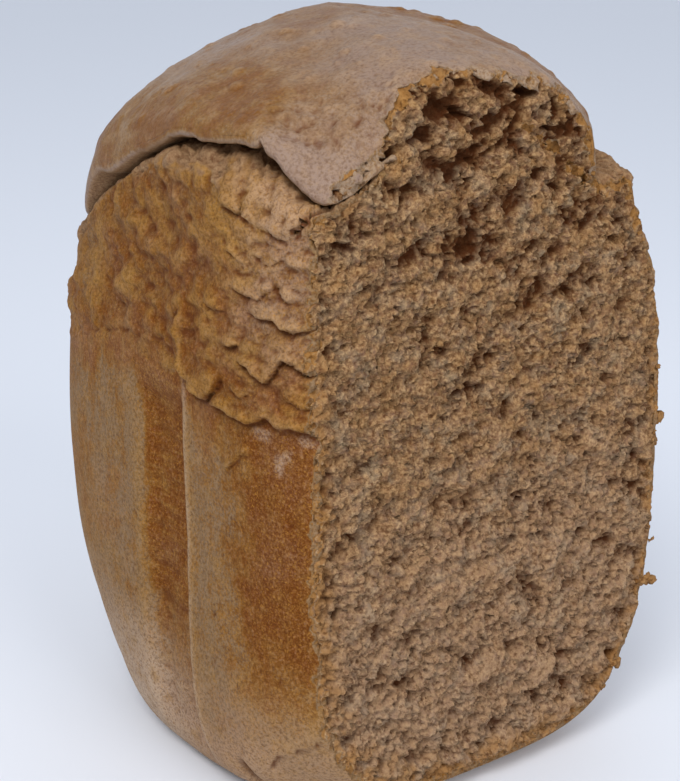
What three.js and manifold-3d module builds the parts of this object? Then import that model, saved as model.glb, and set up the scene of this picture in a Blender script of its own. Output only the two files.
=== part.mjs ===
// A tall pan loaf of cocoa milk bread with its heel slice cut off: one solid, in millimetres.
// +X runs across the cut face, +Y into the loaf and away from the cut, +Z up.
// The origin is the middle of the pan, on the surface that the loaf stands on.
// Angles round the loaf are in degrees from +X: 180 is the ribbed side, 225 the near corner.

import * as THREE from "three";
import { mergeVertices } from "three/addons/utils/BufferGeometryUtils.js";
import Module from "manifold-3d";

// ---- Driving dimensions ----

// the pan, which sets the walls
const halfWidth = 58;
const frontReach = 67; // middle to the heel end, as it was before the slice was cut off
const backReach = 60.5;
const planPower = 4.2; // how square the corners are
const cutAt = -54; // y of the cut face

// rounded lower edge, and the flat spot inside it
const edgeInsetRound = [[0, 24], [90, 25], [135, 27.5], [160, 15.6], [185, 14.2], [205, 17], [226, 27],
  [250, 24], [270, 24], [315, 25]];
const edgeRiseRound = [[0, 52], [90, 60], [138, 90], [165, 54], [190, 37], [210, 39], [228, 56], [270, 55],
  [315, 57]];
const edgePower = 1.15; // above 1 the edge is flatter on its flank and turns harder at the foot

// the walls lean in towards the top, from leanStart up
const leanStart = 75;
const leanSpan = 70;
const leanPower = 2.6;
const leanRound = [[0, 7], [45, 9], [90, 8], [138, 17], [160, 6], [180, 1.5], [222, 0.5], [250, 2],
  [293, 14], [320, 14.8]];

// groove that a rib of the pan leaves in each long side, seen on the left at y = -14 to 5
const ribMiddle = -5;
const ribHalf = 8;
const ribDepth = 2.8;
const ribTop = 95;
const ribSteep = 2.5; // run of its steep flank, and of its gentle one
const ribGentle = 8;
const ribNearDrift = 5; // its flanks drift towards the cut on the way down from driftTop
const ribFarDrift = 3;
const driftTop = 91;

// the crust hangs over the smooth wall in a row of lobes, along this line
const hemRound = [[0, 98], [60, 102], [110, 97], [146, 99], [172, 102.5], [184, 100], [204, 98],
  [227, 95], [290, 97], [330, 101]];
const hemLobe = 9;
const hemDrop = 3.2;
const hemStep = 1.3;
const hemSoft = 3; // height over which the step fades in
const puffSize = [9, 9, 6]; // puffed scales of the wrinkled crust above the hem
const puffHeight = 1.1;
const swellSize = 22; // slow unevenness of all the walls
const swellHeight = 1.6;

// torn band of crumb between the wall and the cap, and the crack above it
const bandRound = [[0, 140], [60, 139], [110, 134], [134, 119], [141, 119.5], [147, 126.5], [158, 135.5],
  [171, 140.5], [185, 144.4], [198, 145.3], [207, 143], [215, 139.3], [221, 138.5], [228, 140], [260, 142],
  [298, 137.5], [330, 141]];
const crackRound = [[0, 147], [60, 146], [108, 143], [134, 124.5], [141, 124.5], [147, 130.5], [154, 137],
  [162, 139.7], [167, 142.8], [173, 145.7], [181, 148.3], [188, 150.6], [196, 151.5], [205, 152], [213.5, 152.3],
  [217, 150.4], [221, 148], [226, 144], [231, 145.5], [237, 150], [241, 153.5], [252, 155], [272, 155],
  [285, 149], [294, 141], [330, 145.5]];
const bandInsetRound = [[0, 4], [60, 4], [140, 4], [170, 6], [215, 7], [240, 6], [298, 6], [330, 4]];
const crackDepthRound = [[0, 1], [60, 1], [120, 1.5], [150, 4], [180, 7], [215, 8], [245, 7], [290, 1.5],
  [330, 1]];
const crackReach = 0.35; // share of the crack's depth that lies behind the band
const crackGap = 1.3;
const raggedDepth = 1.6;

// the domed cap
const capInsetRound = [[0, 14.5], [45, 13], [90, 8.5], [125, 7.5], [150, 2.5], [180, 0.8], [205, 1.2],
  [220, 3.5], [228, 6.8], [236, 8.8], [244, 4], [255, 4.8], [272, 9.5], [284, 10], [293, 11.8], [320, 21]];
// flap of the cap that sticks out over the near corner, and how fast it dies out inwards
const flapRound = [[0, 0], [200, 0], [214, 1.6], [222, 3.3], [227, 5.5], [230, 4], [234, 1], [238, 0], [280, 0]];
const flapFade = 12;
const lipRadius = 2.2;
const lipShare = 0.62; // share of its half round up to where the dome begins
const apex = new THREE.Vector3(0.8, 10.6, 177);
const domeFlatRound = [[0, 2.2], [90, 0.8], [140, 0.85], [180, 1.25], [220, 2.1], [245, 4.1], [275, 3.85],
  [298, 1.6]]; // how flat the crown is before it turns down to the lip
const domeCrown = 1.12; // the same near the apex
const domePower = 1.75;
const domePlan = 2.3; // away from the lip the dome is rounder in plan than the pan
const domeInset = 0.7;
const domeFoot = 149;
const domeFade = 4.1; // how fast the lip's waves die out towards the apex

// crumb of the cut face
const poreSize = 4.5;
const poreDepth = 2.2;
const tornSize = 14; // slower waves that the knife tore
const tornDepth = 1.5;
const hollowDepth = 5; // hollow left under the cap, where the crust lifted off
const hollowWidth = 2.6;
const hollowPath = [[-52, 146], [-35, 152.5], [-27, 158.5], [-19, 161.5], [-6, 163], [4, 163.5], [13, 159.5],
  [19, 153.5]];

// mesh sizes
const fineStep = 2.3; // spacing of the columns on the ribbed side
const coarseStep = 7;
const fineFrom = 138;
const fineTo = 230;
const domeRings = 12;
const crumbColumns = 36;
const crumbRow = 4.4; // row height, finer round the hollow
const crumbFineRow = 2.4;
const crumbFineFrom = 138;
const crumbFineTo = 172;

// ---- Small helpers ----

const radians = THREE.MathUtils.degToRad;
const { clamp, lerp, smoothstep } = THREE.MathUtils;

// Smooth value at an angle, from a ring of [degrees, value] pairs that starts at 0 degrees.
function roundAt(ring, angle) {
  const turn = ((angle % 360) + 360) % 360;
  const count = ring.length;
  const pair = (i) => {
    const laps = Math.floor(i / count);
    const [at, value] = ring[i - laps * count];
    return [at + laps * 360, value];
  };
  const last = ring.findLastIndex(([at]) => at <= turn);
  const [beforeAt, before] = pair(last - 1);
  const [fromAt, from] = pair(last);
  const [toAt, to] = pair(last + 1);
  const [afterAt, after] = pair(last + 2);
  const span = toAt - fromAt;
  const t = (turn - fromAt) / span;
  const slopeFrom = ((to - before) / (toAt - beforeAt)) * span;
  const slopeTo = ((after - from) / (afterAt - fromAt)) * span;
  const rise = 3 * (to - from) - 2 * slopeFrom - slopeTo;
  const settle = 2 * (from - to) + slopeFrom + slopeTo;
  return from + t * (slopeFrom + t * (rise + t * settle));
}

// Repeatable number from 0 to 1 for a grid cell.
function cellRandom(i, j, k, seed) {
  const wave = Math.sin(i * 127.1 + j * 311.7 + k * 74.7 + seed * 53.3) * 43758.5453;
  return wave - Math.floor(wave);
}

// Smooth noise from 0 to 1 at a point counted in cells.
function noise(x, y, z, seed) {
  const i = Math.floor(x);
  const j = Math.floor(y);
  const k = Math.floor(z);
  const ease = (t) => t * t * (3 - 2 * t);
  let total = 0;
  for (let corner = 0; corner < 8; corner++) {
    const a = corner & 1;
    const b = (corner >> 1) & 1;
    const c = corner >> 2;
    const share = (a ? ease(x - i) : 1 - ease(x - i))
      * (b ? ease(y - j) : 1 - ease(y - j))
      * (c ? ease(z - k) : 1 - ease(z - k));
    total += share * cellRandom(i + a, j + b, k + c, seed);
  }
  return total;
}

// How far a point is inside its puffed cell: 0 on the crease between two cells, about 1 in the middle.
function puff(x, y, z, seed) {
  const i = Math.floor(x);
  const j = Math.floor(y);
  const k = Math.floor(z);
  let nearest = 9;
  let second = 9;
  for (let a = -1; a <= 1; a++) {
    for (let b = -1; b <= 1; b++) {
      for (let c = -1; c <= 1; c++) {
        const far = Math.hypot(
          i + a + cellRandom(i + a, j + b, k + c, seed) - x,
          j + b + cellRandom(i + a, j + b, k + c, seed + 1) - y,
          k + c + cellRandom(i + a, j + b, k + c, seed + 2) - z,
        );
        if (far < nearest) {
          second = nearest;
          nearest = far;
        } else if (far < second) {
          second = far;
        }
      }
    }
  }
  return clamp((second - nearest) * 1.6, 0, 1);
}

// ---- The pan's outline ----

function panRadius(angle, inset, power = planPower) {
  const along = Math.cos(radians(angle));
  const deep = Math.sin(radians(angle));
  const wide = halfWidth - inset;
  const long = (deep < 0 ? frontReach : backReach) - inset;
  return ((Math.abs(along) / wide) ** power + (Math.abs(deep) / long) ** power) ** (-1 / power);
}

// Distance along the outline from +X round to each whole degree.
const outlineLength = [0];
for (let angle = 1; angle <= 360; angle++) {
  const from = new THREE.Vector2(panRadius(angle - 1, 0), 0).rotateAround(new THREE.Vector2(), radians(-1));
  const to = new THREE.Vector2(panRadius(angle, 0), 0);
  outlineLength.push(outlineLength[angle - 1] + from.distanceTo(to));
}

function lengthAt(angle) {
  const turn = clamp(angle, 0, 359.999);
  const whole = Math.floor(turn);
  return lerp(outlineLength[whole], outlineLength[whole + 1], turn - whole);
}

// ---- Relief of the crust ----

function ribGroove(x, y, z) {
  const place = x < 0 ? y : -y;
  const drop = clamp(1 - z / driftTop, 0, 1);
  const near = ribMiddle - ribHalf - ribNearDrift * drop ** 1.5;
  const far = ribMiddle + ribHalf - ribFarDrift * drop;
  const steep = smoothstep(place, near - ribSteep * 0.6, near + ribSteep * 0.4);
  const gentle = 1 - smoothstep(place, far - ribGentle / 2, far + ribGentle / 2);
  const onSide = smoothstep(Math.abs(x), halfWidth - 30, halfWidth - 12);
  return -ribDepth * steep * gentle * onSide * (1 - smoothstep(z, ribTop - 6, ribTop + 4));
}

function hemHeight(angle) {
  const lobes = lengthAt(angle) / hemLobe;
  const wide = lobes + 1.1 * noise(lobes * 0.45, 3.7, 1.2, 5);
  const hang = 1 - Math.abs(2 * (wide - Math.floor(wide)) - 1) ** 2;
  return roundAt(hemRound, angle) - hemDrop * hang + 3 * (noise(lobes * 0.7, 8.1, 2.2, 6) - 0.5);
}

function wallRelief(angle, x, y, z) {
  const hem = hemHeight(angle);
  const above = smoothstep(z, hem - hemSoft * 0.2, hem + hemSoft * 0.8);
  const fade = 1 - smoothstep(z, roundAt(bandRound, angle) - 6, roundAt(bandRound, angle));
  const scale = puff(x / puffSize[0], y / puffSize[1], z / puffSize[2], 11);
  const swell = noise(x / swellSize, y / swellSize, z / swellSize, 21) - 0.5;
  return ribGroove(x, y, z) + above * (hemStep + fade * puffHeight * (scale - 0.6)) + swellHeight * swell;
}

// ---- The crust, as rings from the flat spot up to the apex ----

function wallPoint(angle, inset, z) {
  const lean = roundAt(leanRound, angle) * clamp((z - leanStart) / leanSpan, 0, 1.2) ** leanPower;
  const plain = panRadius(angle, inset) - lean;
  const x = plain * Math.cos(radians(angle));
  const y = plain * Math.sin(radians(angle));
  const radius = plain + wallRelief(angle, x, y, z) * smoothstep(z, 2, 20);
  return [radius, z];
}

function capRadius(angle) {
  return panRadius(angle, roundAt(capInsetRound, angle)) + roundAt(flapRound, angle);
}

// Radius and height of the crust's outline at an angle, for a share of one part of the way up.
function outlineAt(part, share, angle) {
  const quarter = (share * Math.PI) / 2;
  const bandZ = roundAt(bandRound, angle);
  const crackZ = roundAt(crackRound, angle);
  if (part === "edge") {
    const inset = roundAt(edgeInsetRound, angle) * (1 - Math.sin(quarter)) ** edgePower;
    return wallPoint(angle, inset, roundAt(edgeRiseRound, angle) * (1 - Math.cos(quarter)));
  }
  if (part === "wall") return wallPoint(angle, 0, lerp(roundAt(edgeRiseRound, angle), bandZ, share));
  const [wallTop] = wallPoint(angle, 0, bandZ);
  const bandTop = wallTop - roundAt(bandInsetRound, angle);
  const crackFloor = Math.min(bandTop, capRadius(angle) - 1) - crackReach * roundAt(crackDepthRound, angle);
  if (part === "band") {
    const ragged = raggedDepth * (noise(angle / 4, 1.5, share * 1.5, 31) - 0.5) * (1 - share);
    return [lerp(crackFloor, wallTop, Math.cos(quarter)) + ragged, lerp(bandZ, crackZ, Math.sin(quarter))];
  }
  if (part === "under") {
    return [lerp(crackFloor, capRadius(angle) - lipRadius, share), crackZ + crackGap * (0.7 + 0.3 * share)];
  }
  const turn = (share - 0.5) * Math.PI;
  const lipMiddle = crackZ + crackGap + lipRadius;
  return [capRadius(angle) + lipRadius * (Math.cos(turn) - 1), lipMiddle + lipRadius * Math.sin(turn)];
}

// Point on the cap's dome: reach is 1 at the lip and 0 at the apex. The lip's own waves die out inwards.
function domePoint(angle, reach) {
  const waves = reach ** domeFade;
  const flat = lerp(domeCrown, roundAt(domeFlatRound, angle), reach);
  const flap = roundAt(flapRound, angle);
  const rimEdge = capRadius(angle) - flap - lipRadius * 0.1;
  const rim = lerp(panRadius(angle, domeInset, domePlan), rimEdge, waves) + flap * reach ** flapFade;
  const rimZ = lerp(domeFoot, roundAt(crackRound, angle) + crackGap + lipRadius * 1.4, waves);
  return new THREE.Vector3(
    apex.x * (1 - reach) + rim * reach * Math.cos(radians(angle)),
    apex.y * (1 - reach) + rim * reach * Math.sin(radians(angle)),
    rimZ + (apex.z - rimZ) * (1 - reach ** flat) ** (1 / domePower),
  );
}

// Angles of the columns, closer together on the ribbed side that shows its folds.
function columnAngles() {
  const angles = [];
  let angle = 0;
  while (angle < 360) {
    angles.push(angle);
    const fine = smoothstep(angle, fineFrom - 12, fineFrom) * (1 - smoothstep(angle, fineTo, fineTo + 12));
    const perDegree = lengthAt(angle + 0.5) - lengthAt(Math.max(angle - 0.5, 0));
    angle += lerp(coarseStep, fineStep, fine) / Math.max(perDegree, 0.6);
  }
  return angles.map((each) => (each * 360) / angle);
}

function profileRows() {
  const rows = [];
  const add = (part, count, first, ease) => {
    for (let i = first; i <= count; i++) rows.push({ part, share: ease(i / count) });
  };
  add("edge", 9, 0, (t) => t);
  add("wall", 22, 1, (t) => t ** 0.62);
  add("band", 3, 1, (t) => t);
  add("under", 2, 1, (t) => t);
  add("lip", 3, 1, (t) => t * lipShare);
  return rows;
}

function closedGeometry(positions, triangles) {
  const geometry = new THREE.BufferGeometry();
  geometry.setAttribute("position", new THREE.Float32BufferAttribute(positions, 3));
  geometry.setIndex(triangles);
  return geometry;
}

function crustGeometry() {
  const angles = columnAngles();
  const rows = profileRows();
  const positions = [0, 0, 0];
  rows.forEach(({ part, share }) => angles.forEach((angle) => {
    const [radius, z] = outlineAt(part, share, angle);
    positions.push(radius * Math.cos(radians(angle)), radius * Math.sin(radians(angle)), z);
  }));
  for (let ring = 0; ring < domeRings; ring++) {
    const reach = Math.cos((ring / domeRings) * Math.PI / 2) ** 0.9;
    angles.forEach((angle) => positions.push(...domePoint(angle, reach)));
  }
  positions.push(...apex);
  const count = angles.length;
  const rings = rows.length + domeRings;
  const last = positions.length / 3 - 1;
  const triangles = [];
  for (let i = 0; i < count; i++) {
    const next = (i + 1) % count;
    triangles.push(0, 1 + next, 1 + i);
    for (let ring = 0; ring < rings - 1; ring++) {
      const low = 1 + ring * count;
      const high = low + count;
      triangles.push(low + i, low + next, high + next, low + i, high + next, high + i);
    }
    triangles.push(last, last - count + i, last - count + next);
  }
  return closedGeometry(positions, triangles);
}

// ---- The crumb face ----

function hollowAt(x, z) {
  let nearest = Infinity;
  for (let i = 1; i < hollowPath.length; i++) {
    const start = new THREE.Vector3(hollowPath[i - 1][0], 0, hollowPath[i - 1][1]);
    const end = new THREE.Vector3(hollowPath[i][0], 0, hollowPath[i][1]);
    const point = new THREE.Vector3(x, 0, z);
    const foot = new THREE.Line3(start, end).closestPointToPoint(point, true, new THREE.Vector3());
    nearest = Math.min(nearest, foot.distanceTo(point));
  }
  return hollowDepth * (1 - smoothstep(nearest, 0.4, hollowWidth));
}

// How far the crumb lies behind the plane of the cut.
function crumbDepth(x, z) {
  const pores = noise(x / poreSize, z / poreSize, 0.5, 41) - 0.5;
  const torn = noise(x / tornSize, z / tornSize, 0.5, 42) - 0.5;
  return poreDepth * pores + tornDepth * torn + hollowAt(x, z);
}

// Block in front of the cut, whose far side carries the relief of the crumb.
function cutterGeometry() {
  const left = -halfWidth - 14;
  const right = halfWidth + 14;
  const low = -12;
  const high = apex.z + 14;
  const behind = -frontReach - 30;
  const rowHeights = [];
  let height = low;
  while (height < high) {
    rowHeights.push(height);
    height += height < crumbFineFrom || height > crumbFineTo ? crumbRow : crumbFineRow;
  }
  rowHeights.push(high);
  const positions = [];
  for (const z of rowHeights) {
    for (let i = 0; i <= crumbColumns; i++) {
      const x = lerp(left, right, i / crumbColumns);
      positions.push(x, cutAt + crumbDepth(x, z), z);
    }
  }
  const across = crumbColumns + 1;
  const rows = rowHeights.length;
  const triangles = [];
  for (let j = 0; j < rows - 1; j++) {
    for (let i = 0; i < crumbColumns; i++) {
      const a = j * across + i;
      triangles.push(a, a + across + 1, a + 1, a, a + across, a + across + 1);
    }
  }
  const rim = [];
  for (let i = 0; i < crumbColumns; i++) rim.push(i);
  for (let j = 0; j < rows - 1; j++) rim.push(j * across + crumbColumns);
  for (let i = crumbColumns; i > 0; i--) rim.push((rows - 1) * across + i);
  for (let j = rows - 1; j > 0; j--) rim.push(j * across);
  const back = positions.length / 3;
  for (const i of rim) positions.push(positions[i * 3], behind, positions[i * 3 + 2]);
  rim.forEach((corner, i) => {
    const next = (i + 1) % rim.length;
    triangles.push(corner, rim[next], back + next, corner, back + next, back + i);
  });
  const middle = positions.length / 3;
  positions.push(0, behind, (low + high) / 2);
  rim.forEach((_, i) => triangles.push(middle, back + i, back + ((i + 1) % rim.length)));
  return closedGeometry(positions, triangles);
}

// ---- Joining and cutting ----

const wasm = await Module();
wasm.setup();

function toSolid(geometry) {
  const merged = mergeVertices(geometry);
  return new wasm.Manifold(new wasm.Mesh({
    numProp: 3,
    vertProperties: new Float32Array(merged.attributes.position.array),
    triVerts: new Uint32Array(merged.index.array),
  }));
}

function toGeometry(solid) {
  const { vertProperties, triVerts } = solid.getMesh();
  const geometry = new THREE.BufferGeometry();
  geometry.setAttribute("position", new THREE.BufferAttribute(vertProperties, 3));
  geometry.setIndex(new THREE.BufferAttribute(triVerts, 1));
  geometry.computeVertexNormals();
  return geometry;
}

const cutLoaf = toSolid(crustGeometry()).subtract(toSolid(cutterGeometry()));

// ---- The part ----

const breadCrust = new THREE.MeshStandardMaterial({ color: "#8a5f42", roughness: 0.72, metalness: 0 });
const loaf = new THREE.Mesh(toGeometry(cutLoaf), breadCrust);
loaf.name = "loaf";

const part = new THREE.Group();
part.add(loaf);

export default part;
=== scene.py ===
import math

import bmesh
import bpy
import numpy as np
from mathutils import Matrix, Vector
from mathutils.bvhtree import BVHTree


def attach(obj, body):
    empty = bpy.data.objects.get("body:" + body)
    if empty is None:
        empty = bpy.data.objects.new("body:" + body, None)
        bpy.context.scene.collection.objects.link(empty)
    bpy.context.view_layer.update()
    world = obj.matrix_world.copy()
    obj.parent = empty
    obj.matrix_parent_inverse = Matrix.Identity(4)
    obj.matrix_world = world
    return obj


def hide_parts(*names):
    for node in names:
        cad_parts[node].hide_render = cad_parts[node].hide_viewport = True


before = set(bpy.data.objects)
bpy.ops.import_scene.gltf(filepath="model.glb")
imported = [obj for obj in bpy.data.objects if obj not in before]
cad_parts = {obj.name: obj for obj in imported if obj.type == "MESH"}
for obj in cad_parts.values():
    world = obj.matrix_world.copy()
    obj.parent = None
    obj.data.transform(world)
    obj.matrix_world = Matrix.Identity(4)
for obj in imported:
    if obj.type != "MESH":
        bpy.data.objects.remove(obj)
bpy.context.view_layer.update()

# Tall pan loaf of cocoa milk bread with its heel slice cut off.
# Places are in mm: x across the cut face, y into the loaf, z up from the floor.
# Angles run round the loaf from +x in degrees: 180 is the ribbed side, 225 the near corner.

metre = 0.001  # one mm in Blender's metres


def linearColour(code):
    parts = [int(code[i:i + 2], 16) / 255 for i in (1, 3, 5)]
    return [p / 12.92 if p <= 0.04045 else ((p + 0.055) / 1.055) ** 2.4 for p in parts] + [1]


def perSize(size):
    return 1 / (size * metre)  # texture scale for a pattern of this size in mm


def ramp(value, low, high):
    t = np.clip((value - low) / (high - low), 0, 1)
    return t * t * (3 - 2 * t)


def blend(a, b, share):
    return a + (b - a) * share


def cellRandom(i, j, k, seed):
    wave = np.sin(i * 127.1 + j * 311.7 + k * 74.7 + seed * 53.3) * 43758.5453
    return wave - np.floor(wave)


def noise(x, y, z, seed):  # smooth, 0 to 1, at points counted in cells
    x, y, z = np.broadcast_arrays(x, y, z)
    i, j, k = np.floor(x), np.floor(y), np.floor(z)
    ease = lambda t: t * t * (3 - 2 * t)
    u, v, w = ease(x - i), ease(y - j), ease(z - k)
    total = np.zeros(x.shape)
    for corner in range(8):
        a, b, c = corner & 1, (corner >> 1) & 1, corner >> 2
        share = (u if a else 1 - u) * (v if b else 1 - v) * (w if c else 1 - w)
        total += share * cellRandom(i + a, j + b, k + c, seed)
    return total


def layeredNoise(x, y, z, seed, layers=3):  # about -0.5 to 0.5
    total, size, scale = 0, 0.5, 1
    for layer in range(layers):
        total = total + size * 2 * (noise(x * scale, y * scale, z * scale, seed + layer) - 0.5)
        size, scale = size * 0.5, scale * 2.03
    return total * 0.6


def flatWaves(u, v, layer):  # layer: height, width and tallness in mm, level, seed, octaves
    height, wide, tall, level, seed, octaves = layer
    return height * layeredNoise(u / wide, v / tall, level, seed, octaves)


def solidWaves(x, y, z, layer):  # layer: height, size along x, y and z in mm, seed, octaves
    height, sizeX, sizeY, sizeZ, seed, octaves = layer
    return height * layeredNoise(x / sizeX, y / sizeY, z / sizeZ, seed, octaves)


def puffed(x, y, z, seed):  # 0 on the crease between two cells, 1 well inside one
    i, j, k = np.floor(x), np.floor(y), np.floor(z)
    nearest = np.full(x.shape, 9.0)
    second = nearest.copy()
    for a in (-1, 0, 1):
        for b in (-1, 0, 1):
            for c in (-1, 0, 1):
                cell = (i + a, j + b, k + c)
                far = np.sqrt(
                    (cell[0] + cellRandom(*cell, seed) - x) ** 2
                    + (cell[1] + cellRandom(*cell, seed + 1) - y) ** 2
                    + (cell[2] + cellRandom(*cell, seed + 2) - z) ** 2)
                second = np.where(far < nearest, nearest, np.minimum(second, far))
                nearest = np.minimum(nearest, far)
    return np.clip((second - nearest) * 1.6, 0, 1)


def pores(u, v, size, share, radius, seed):  # bowls 0 to 1 deep, scattered over a flat field
    i, j = np.floor(u / size), np.floor(v / size)
    deepest = np.zeros(np.shape(u))
    for a in (-1, 0, 1):
        for b in (-1, 0, 1):
            ci, cj = i + a, j + b
            du = (ci + cellRandom(ci, cj, 1, seed)) * size - u
            dv = (cj + cellRandom(ci, cj, 2, seed)) * size - v
            wide = radius * (0.55 + 0.9 * cellRandom(ci, cj, 3, seed))
            isOpen = cellRandom(ci, cj, 4, seed) < share
            bowl = np.clip(1 - (du * du + dv * dv) / wide ** 2, 0, 1) ** 0.7
            deepest = np.maximum(deepest, bowl * isOpen * wide / radius)
    return deepest


def roundAt(ring, angle):  # smooth value at an angle from a ring of (degrees, value)
    at, value = np.array(ring, float).T
    count = len(at)
    turn = np.mod(angle, 360)
    last = np.searchsorted(at, turn, side="right") - 1
    pick = lambda i: (at[i % count] + 360 * (i // count), value[i % count])
    neighbours = [pick(last + i) for i in (-1, 0, 1, 2)]
    (beforeAt, before), (fromAt, start), (toAt, end), (afterAt, after) = neighbours
    span = toAt - fromAt
    t = (turn - fromAt) / span
    slopeStart = (end - before) / (toAt - beforeAt) * span
    slopeEnd = (after - start) / (afterAt - fromAt) * span
    rise = 3 * (end - start) - 2 * slopeStart - slopeEnd
    settle = 2 * (start - end) + slopeStart + slopeEnd
    return start + t * (slopeStart + t * (rise + t * settle))


# the loaf's form, as in the solid model
loafForm = {
    "halfWidth": 58, "front": 67, "back": 60.5, "planPower": 4.2,  # the pan
    "cutAt": -54,
    "edgeInset": [(0, 24), (90, 25), (135, 27.5), (160, 15.6), (185, 14.2), (205, 17), (226, 27),
                  (250, 24), (270, 24), (315, 25)],
    "edgeRise": [(0, 52), (90, 60), (138, 90), (165, 54), (190, 37), (210, 39), (228, 56), (270, 55),
                 (315, 57)],
    "edgePower": 1.15,
    "leanStart": 75, "leanSpan": 70, "leanPower": 2.6,
    "lean": [(0, 7), (45, 9), (90, 8), (138, 17), (160, 6), (180, 1.5), (222, 0.5), (250, 2), (293, 14),
             (320, 14.8)],
    "bandFoot": [(0, 140), (60, 139), (110, 134), (134, 119), (141, 119.5), (147, 126.5), (158, 135.5),
                 (171, 140.5), (185, 144.4), (198, 145.3), (207, 143), (215, 139.3), (221, 138.5),
                 (228, 140), (260, 142), (298, 137.5), (330, 141)],
    "crack": [(0, 147), (60, 146), (108, 143), (134, 124.5), (141, 124.5), (147, 130.5), (154, 137),
              (162, 139.7), (167, 142.8), (173, 145.7), (181, 148.3), (188, 150.6), (196, 151.5),
              (205, 152), (213.5, 152.3), (217, 150.4), (221, 148), (226, 144), (231, 145.5),
              (237, 150), (241, 153.5), (252, 155), (272, 155), (285, 149), (294, 141), (330, 145.5)],
    "lipGap": [(0, 1), (140, 1.2), (150, 1.6), (156, 1.6), (165, 0.5), (176, 0.6), (185, 0.8),
               (190, 1.8), (198, 2), (206, 1.8), (213, 2.1), (217.5, 2.8), (220, 1.5), (224, 0.9),
               (235, 1)],
    "bandInset": [(0, 4), (60, 4), (140, 4), (170, 6), (215, 7), (240, 6), (298, 6), (330, 4)],
    "crackDepth": [(0, 1), (60, 1), (120, 1.5), (150, 6), (180, 7), (215, 8), (245, 7), (290, 1.5),
                   (330, 1)],
    "crackReach": 0.45, "bandBulge": 1.1,
    "capInset": [(0, 14.5), (45, 13), (90, 8.5), (125, 7.5), (150, 2.5), (180, 0.8), (205, 1.2),
                 (220, 3.5), (228, 6.8), (236, 8.8), (244, 4), (255, 4.8), (272, 9.5), (284, 10),
                 (293, 11.8), (320, 21)],
    "flap": [(0, 0), (200, 0), (214, 1.6), (222, 3.3), (227, 5.5), (230, 4), (234, 1), (238, 0),
             (280, 0)],
    "flapFade": 12,
    "lipRadius": 1.4, "lipShare": 0.62,
    "apex": (0.8, 10.6, 177),
    "domeFlat": [(0, 2.2), (90, 0.8), (140, 0.85), (180, 1.25), (220, 2.1), (245, 4.1), (275, 3.85),
                 (298, 1.6)],
    "domeCrown": 1.12, "domePower": 1.75, "domePlan": 2.3, "domeInset": 0.7,
    "domeFoot": 149, "domeFade": 4.1,
}

form = loafForm  # a short name for it


def panRadius(angle, inset, power=form["planPower"]):
    along, deep = np.cos(np.radians(angle)), np.sin(np.radians(angle))
    wide = form["halfWidth"] - inset
    long = np.where(deep < 0, form["front"], form["back"]) - inset
    return ((np.abs(along) / wide) ** power + (np.abs(deep) / long) ** power) ** (-1 / power)


wholeAngles = np.arange(361.0)
outline = panRadius(wholeAngles, 0)
outlineX, outlineY = outline * np.cos(np.radians(wholeAngles)), outline * np.sin(np.radians(wholeAngles))
outlineLength = np.concatenate([[0], np.cumsum(np.hypot(np.diff(outlineX), np.diff(outlineY)))])


def lengthAt(angle):
    return np.interp(angle, wholeAngles, outlineLength)


crustRelief = {
    # groove left by a rib of the pan in each long side
    "ribNear": -13, "ribNearDrift": 5, "ribFar": 3, "ribFarDrift": 3, "ribDepth": 2.8,
    "ribTop": 95, "ribHeight": 91, "ribDriftPower": 1.5,
    # the crust hangs over the smooth wall in a row of lobes
    "hem": [(0, 98), (60, 102), (110, 97), (146, 99), (172, 102.5), (184, 100), (204, 98), (227, 95),
            (290, 97), (330, 101)],
    "hemLobe": 9, "hemDrop": 3.2, "hemStep": 1.3, "hemDrift": 3, "hemWander": 1.1,
    "shownHemWaves": (4, 3.3, 1, 0.8, 74, 2),
    "softSide": (-14, -6),  # the hem fades away over these y
    # quilting of the puffed crust on the sides that don't show
    "puffSize": (9, 9, 6), "puffHeight": 0.44, "finePuffSize": (4.1, 4.1, 2.9), "finePuffHeight": 0.25,
    "puffWarp": (2.5, 8, 8, 6, 61, 2),
    "lumps": [(2.8, 11, 11, 7, 67, 2), (2, 4.6, 4.6, 3.2, 68, 3)],
    "smoothWall": (0.25, 3, 3, 30, 63, 2),
    "swellSize": 22, "swellHeight": 1.6,
    "ripple": (1, 7, 1.7, 9, 65, 2), "rippleHidden": 0.3, "rippleShare": 0.5,
    # the hem of the ribbed side, (y, z)
    "shownHem": [(-62, 95), (-54, 96.3), (-52.3, 97.6), (-48.9, 98), (-45.4, 97.6), (-42.1, 98.8),
                 (-37.5, 96.6), (-32, 97.1), (-25.5, 97.6), (-23.1, 98), (-19.2, 98.7), (-16.3, 100.1),
                 (-13.2, 103.3), (-7.6, 101.2), (-2.3, 101.4), (2.5, 103.2), (5.3, 103.7), (8, 106),
                 (17.5, 104), (24, 102.5), (30, 100), (48, 98)],
}

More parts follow.
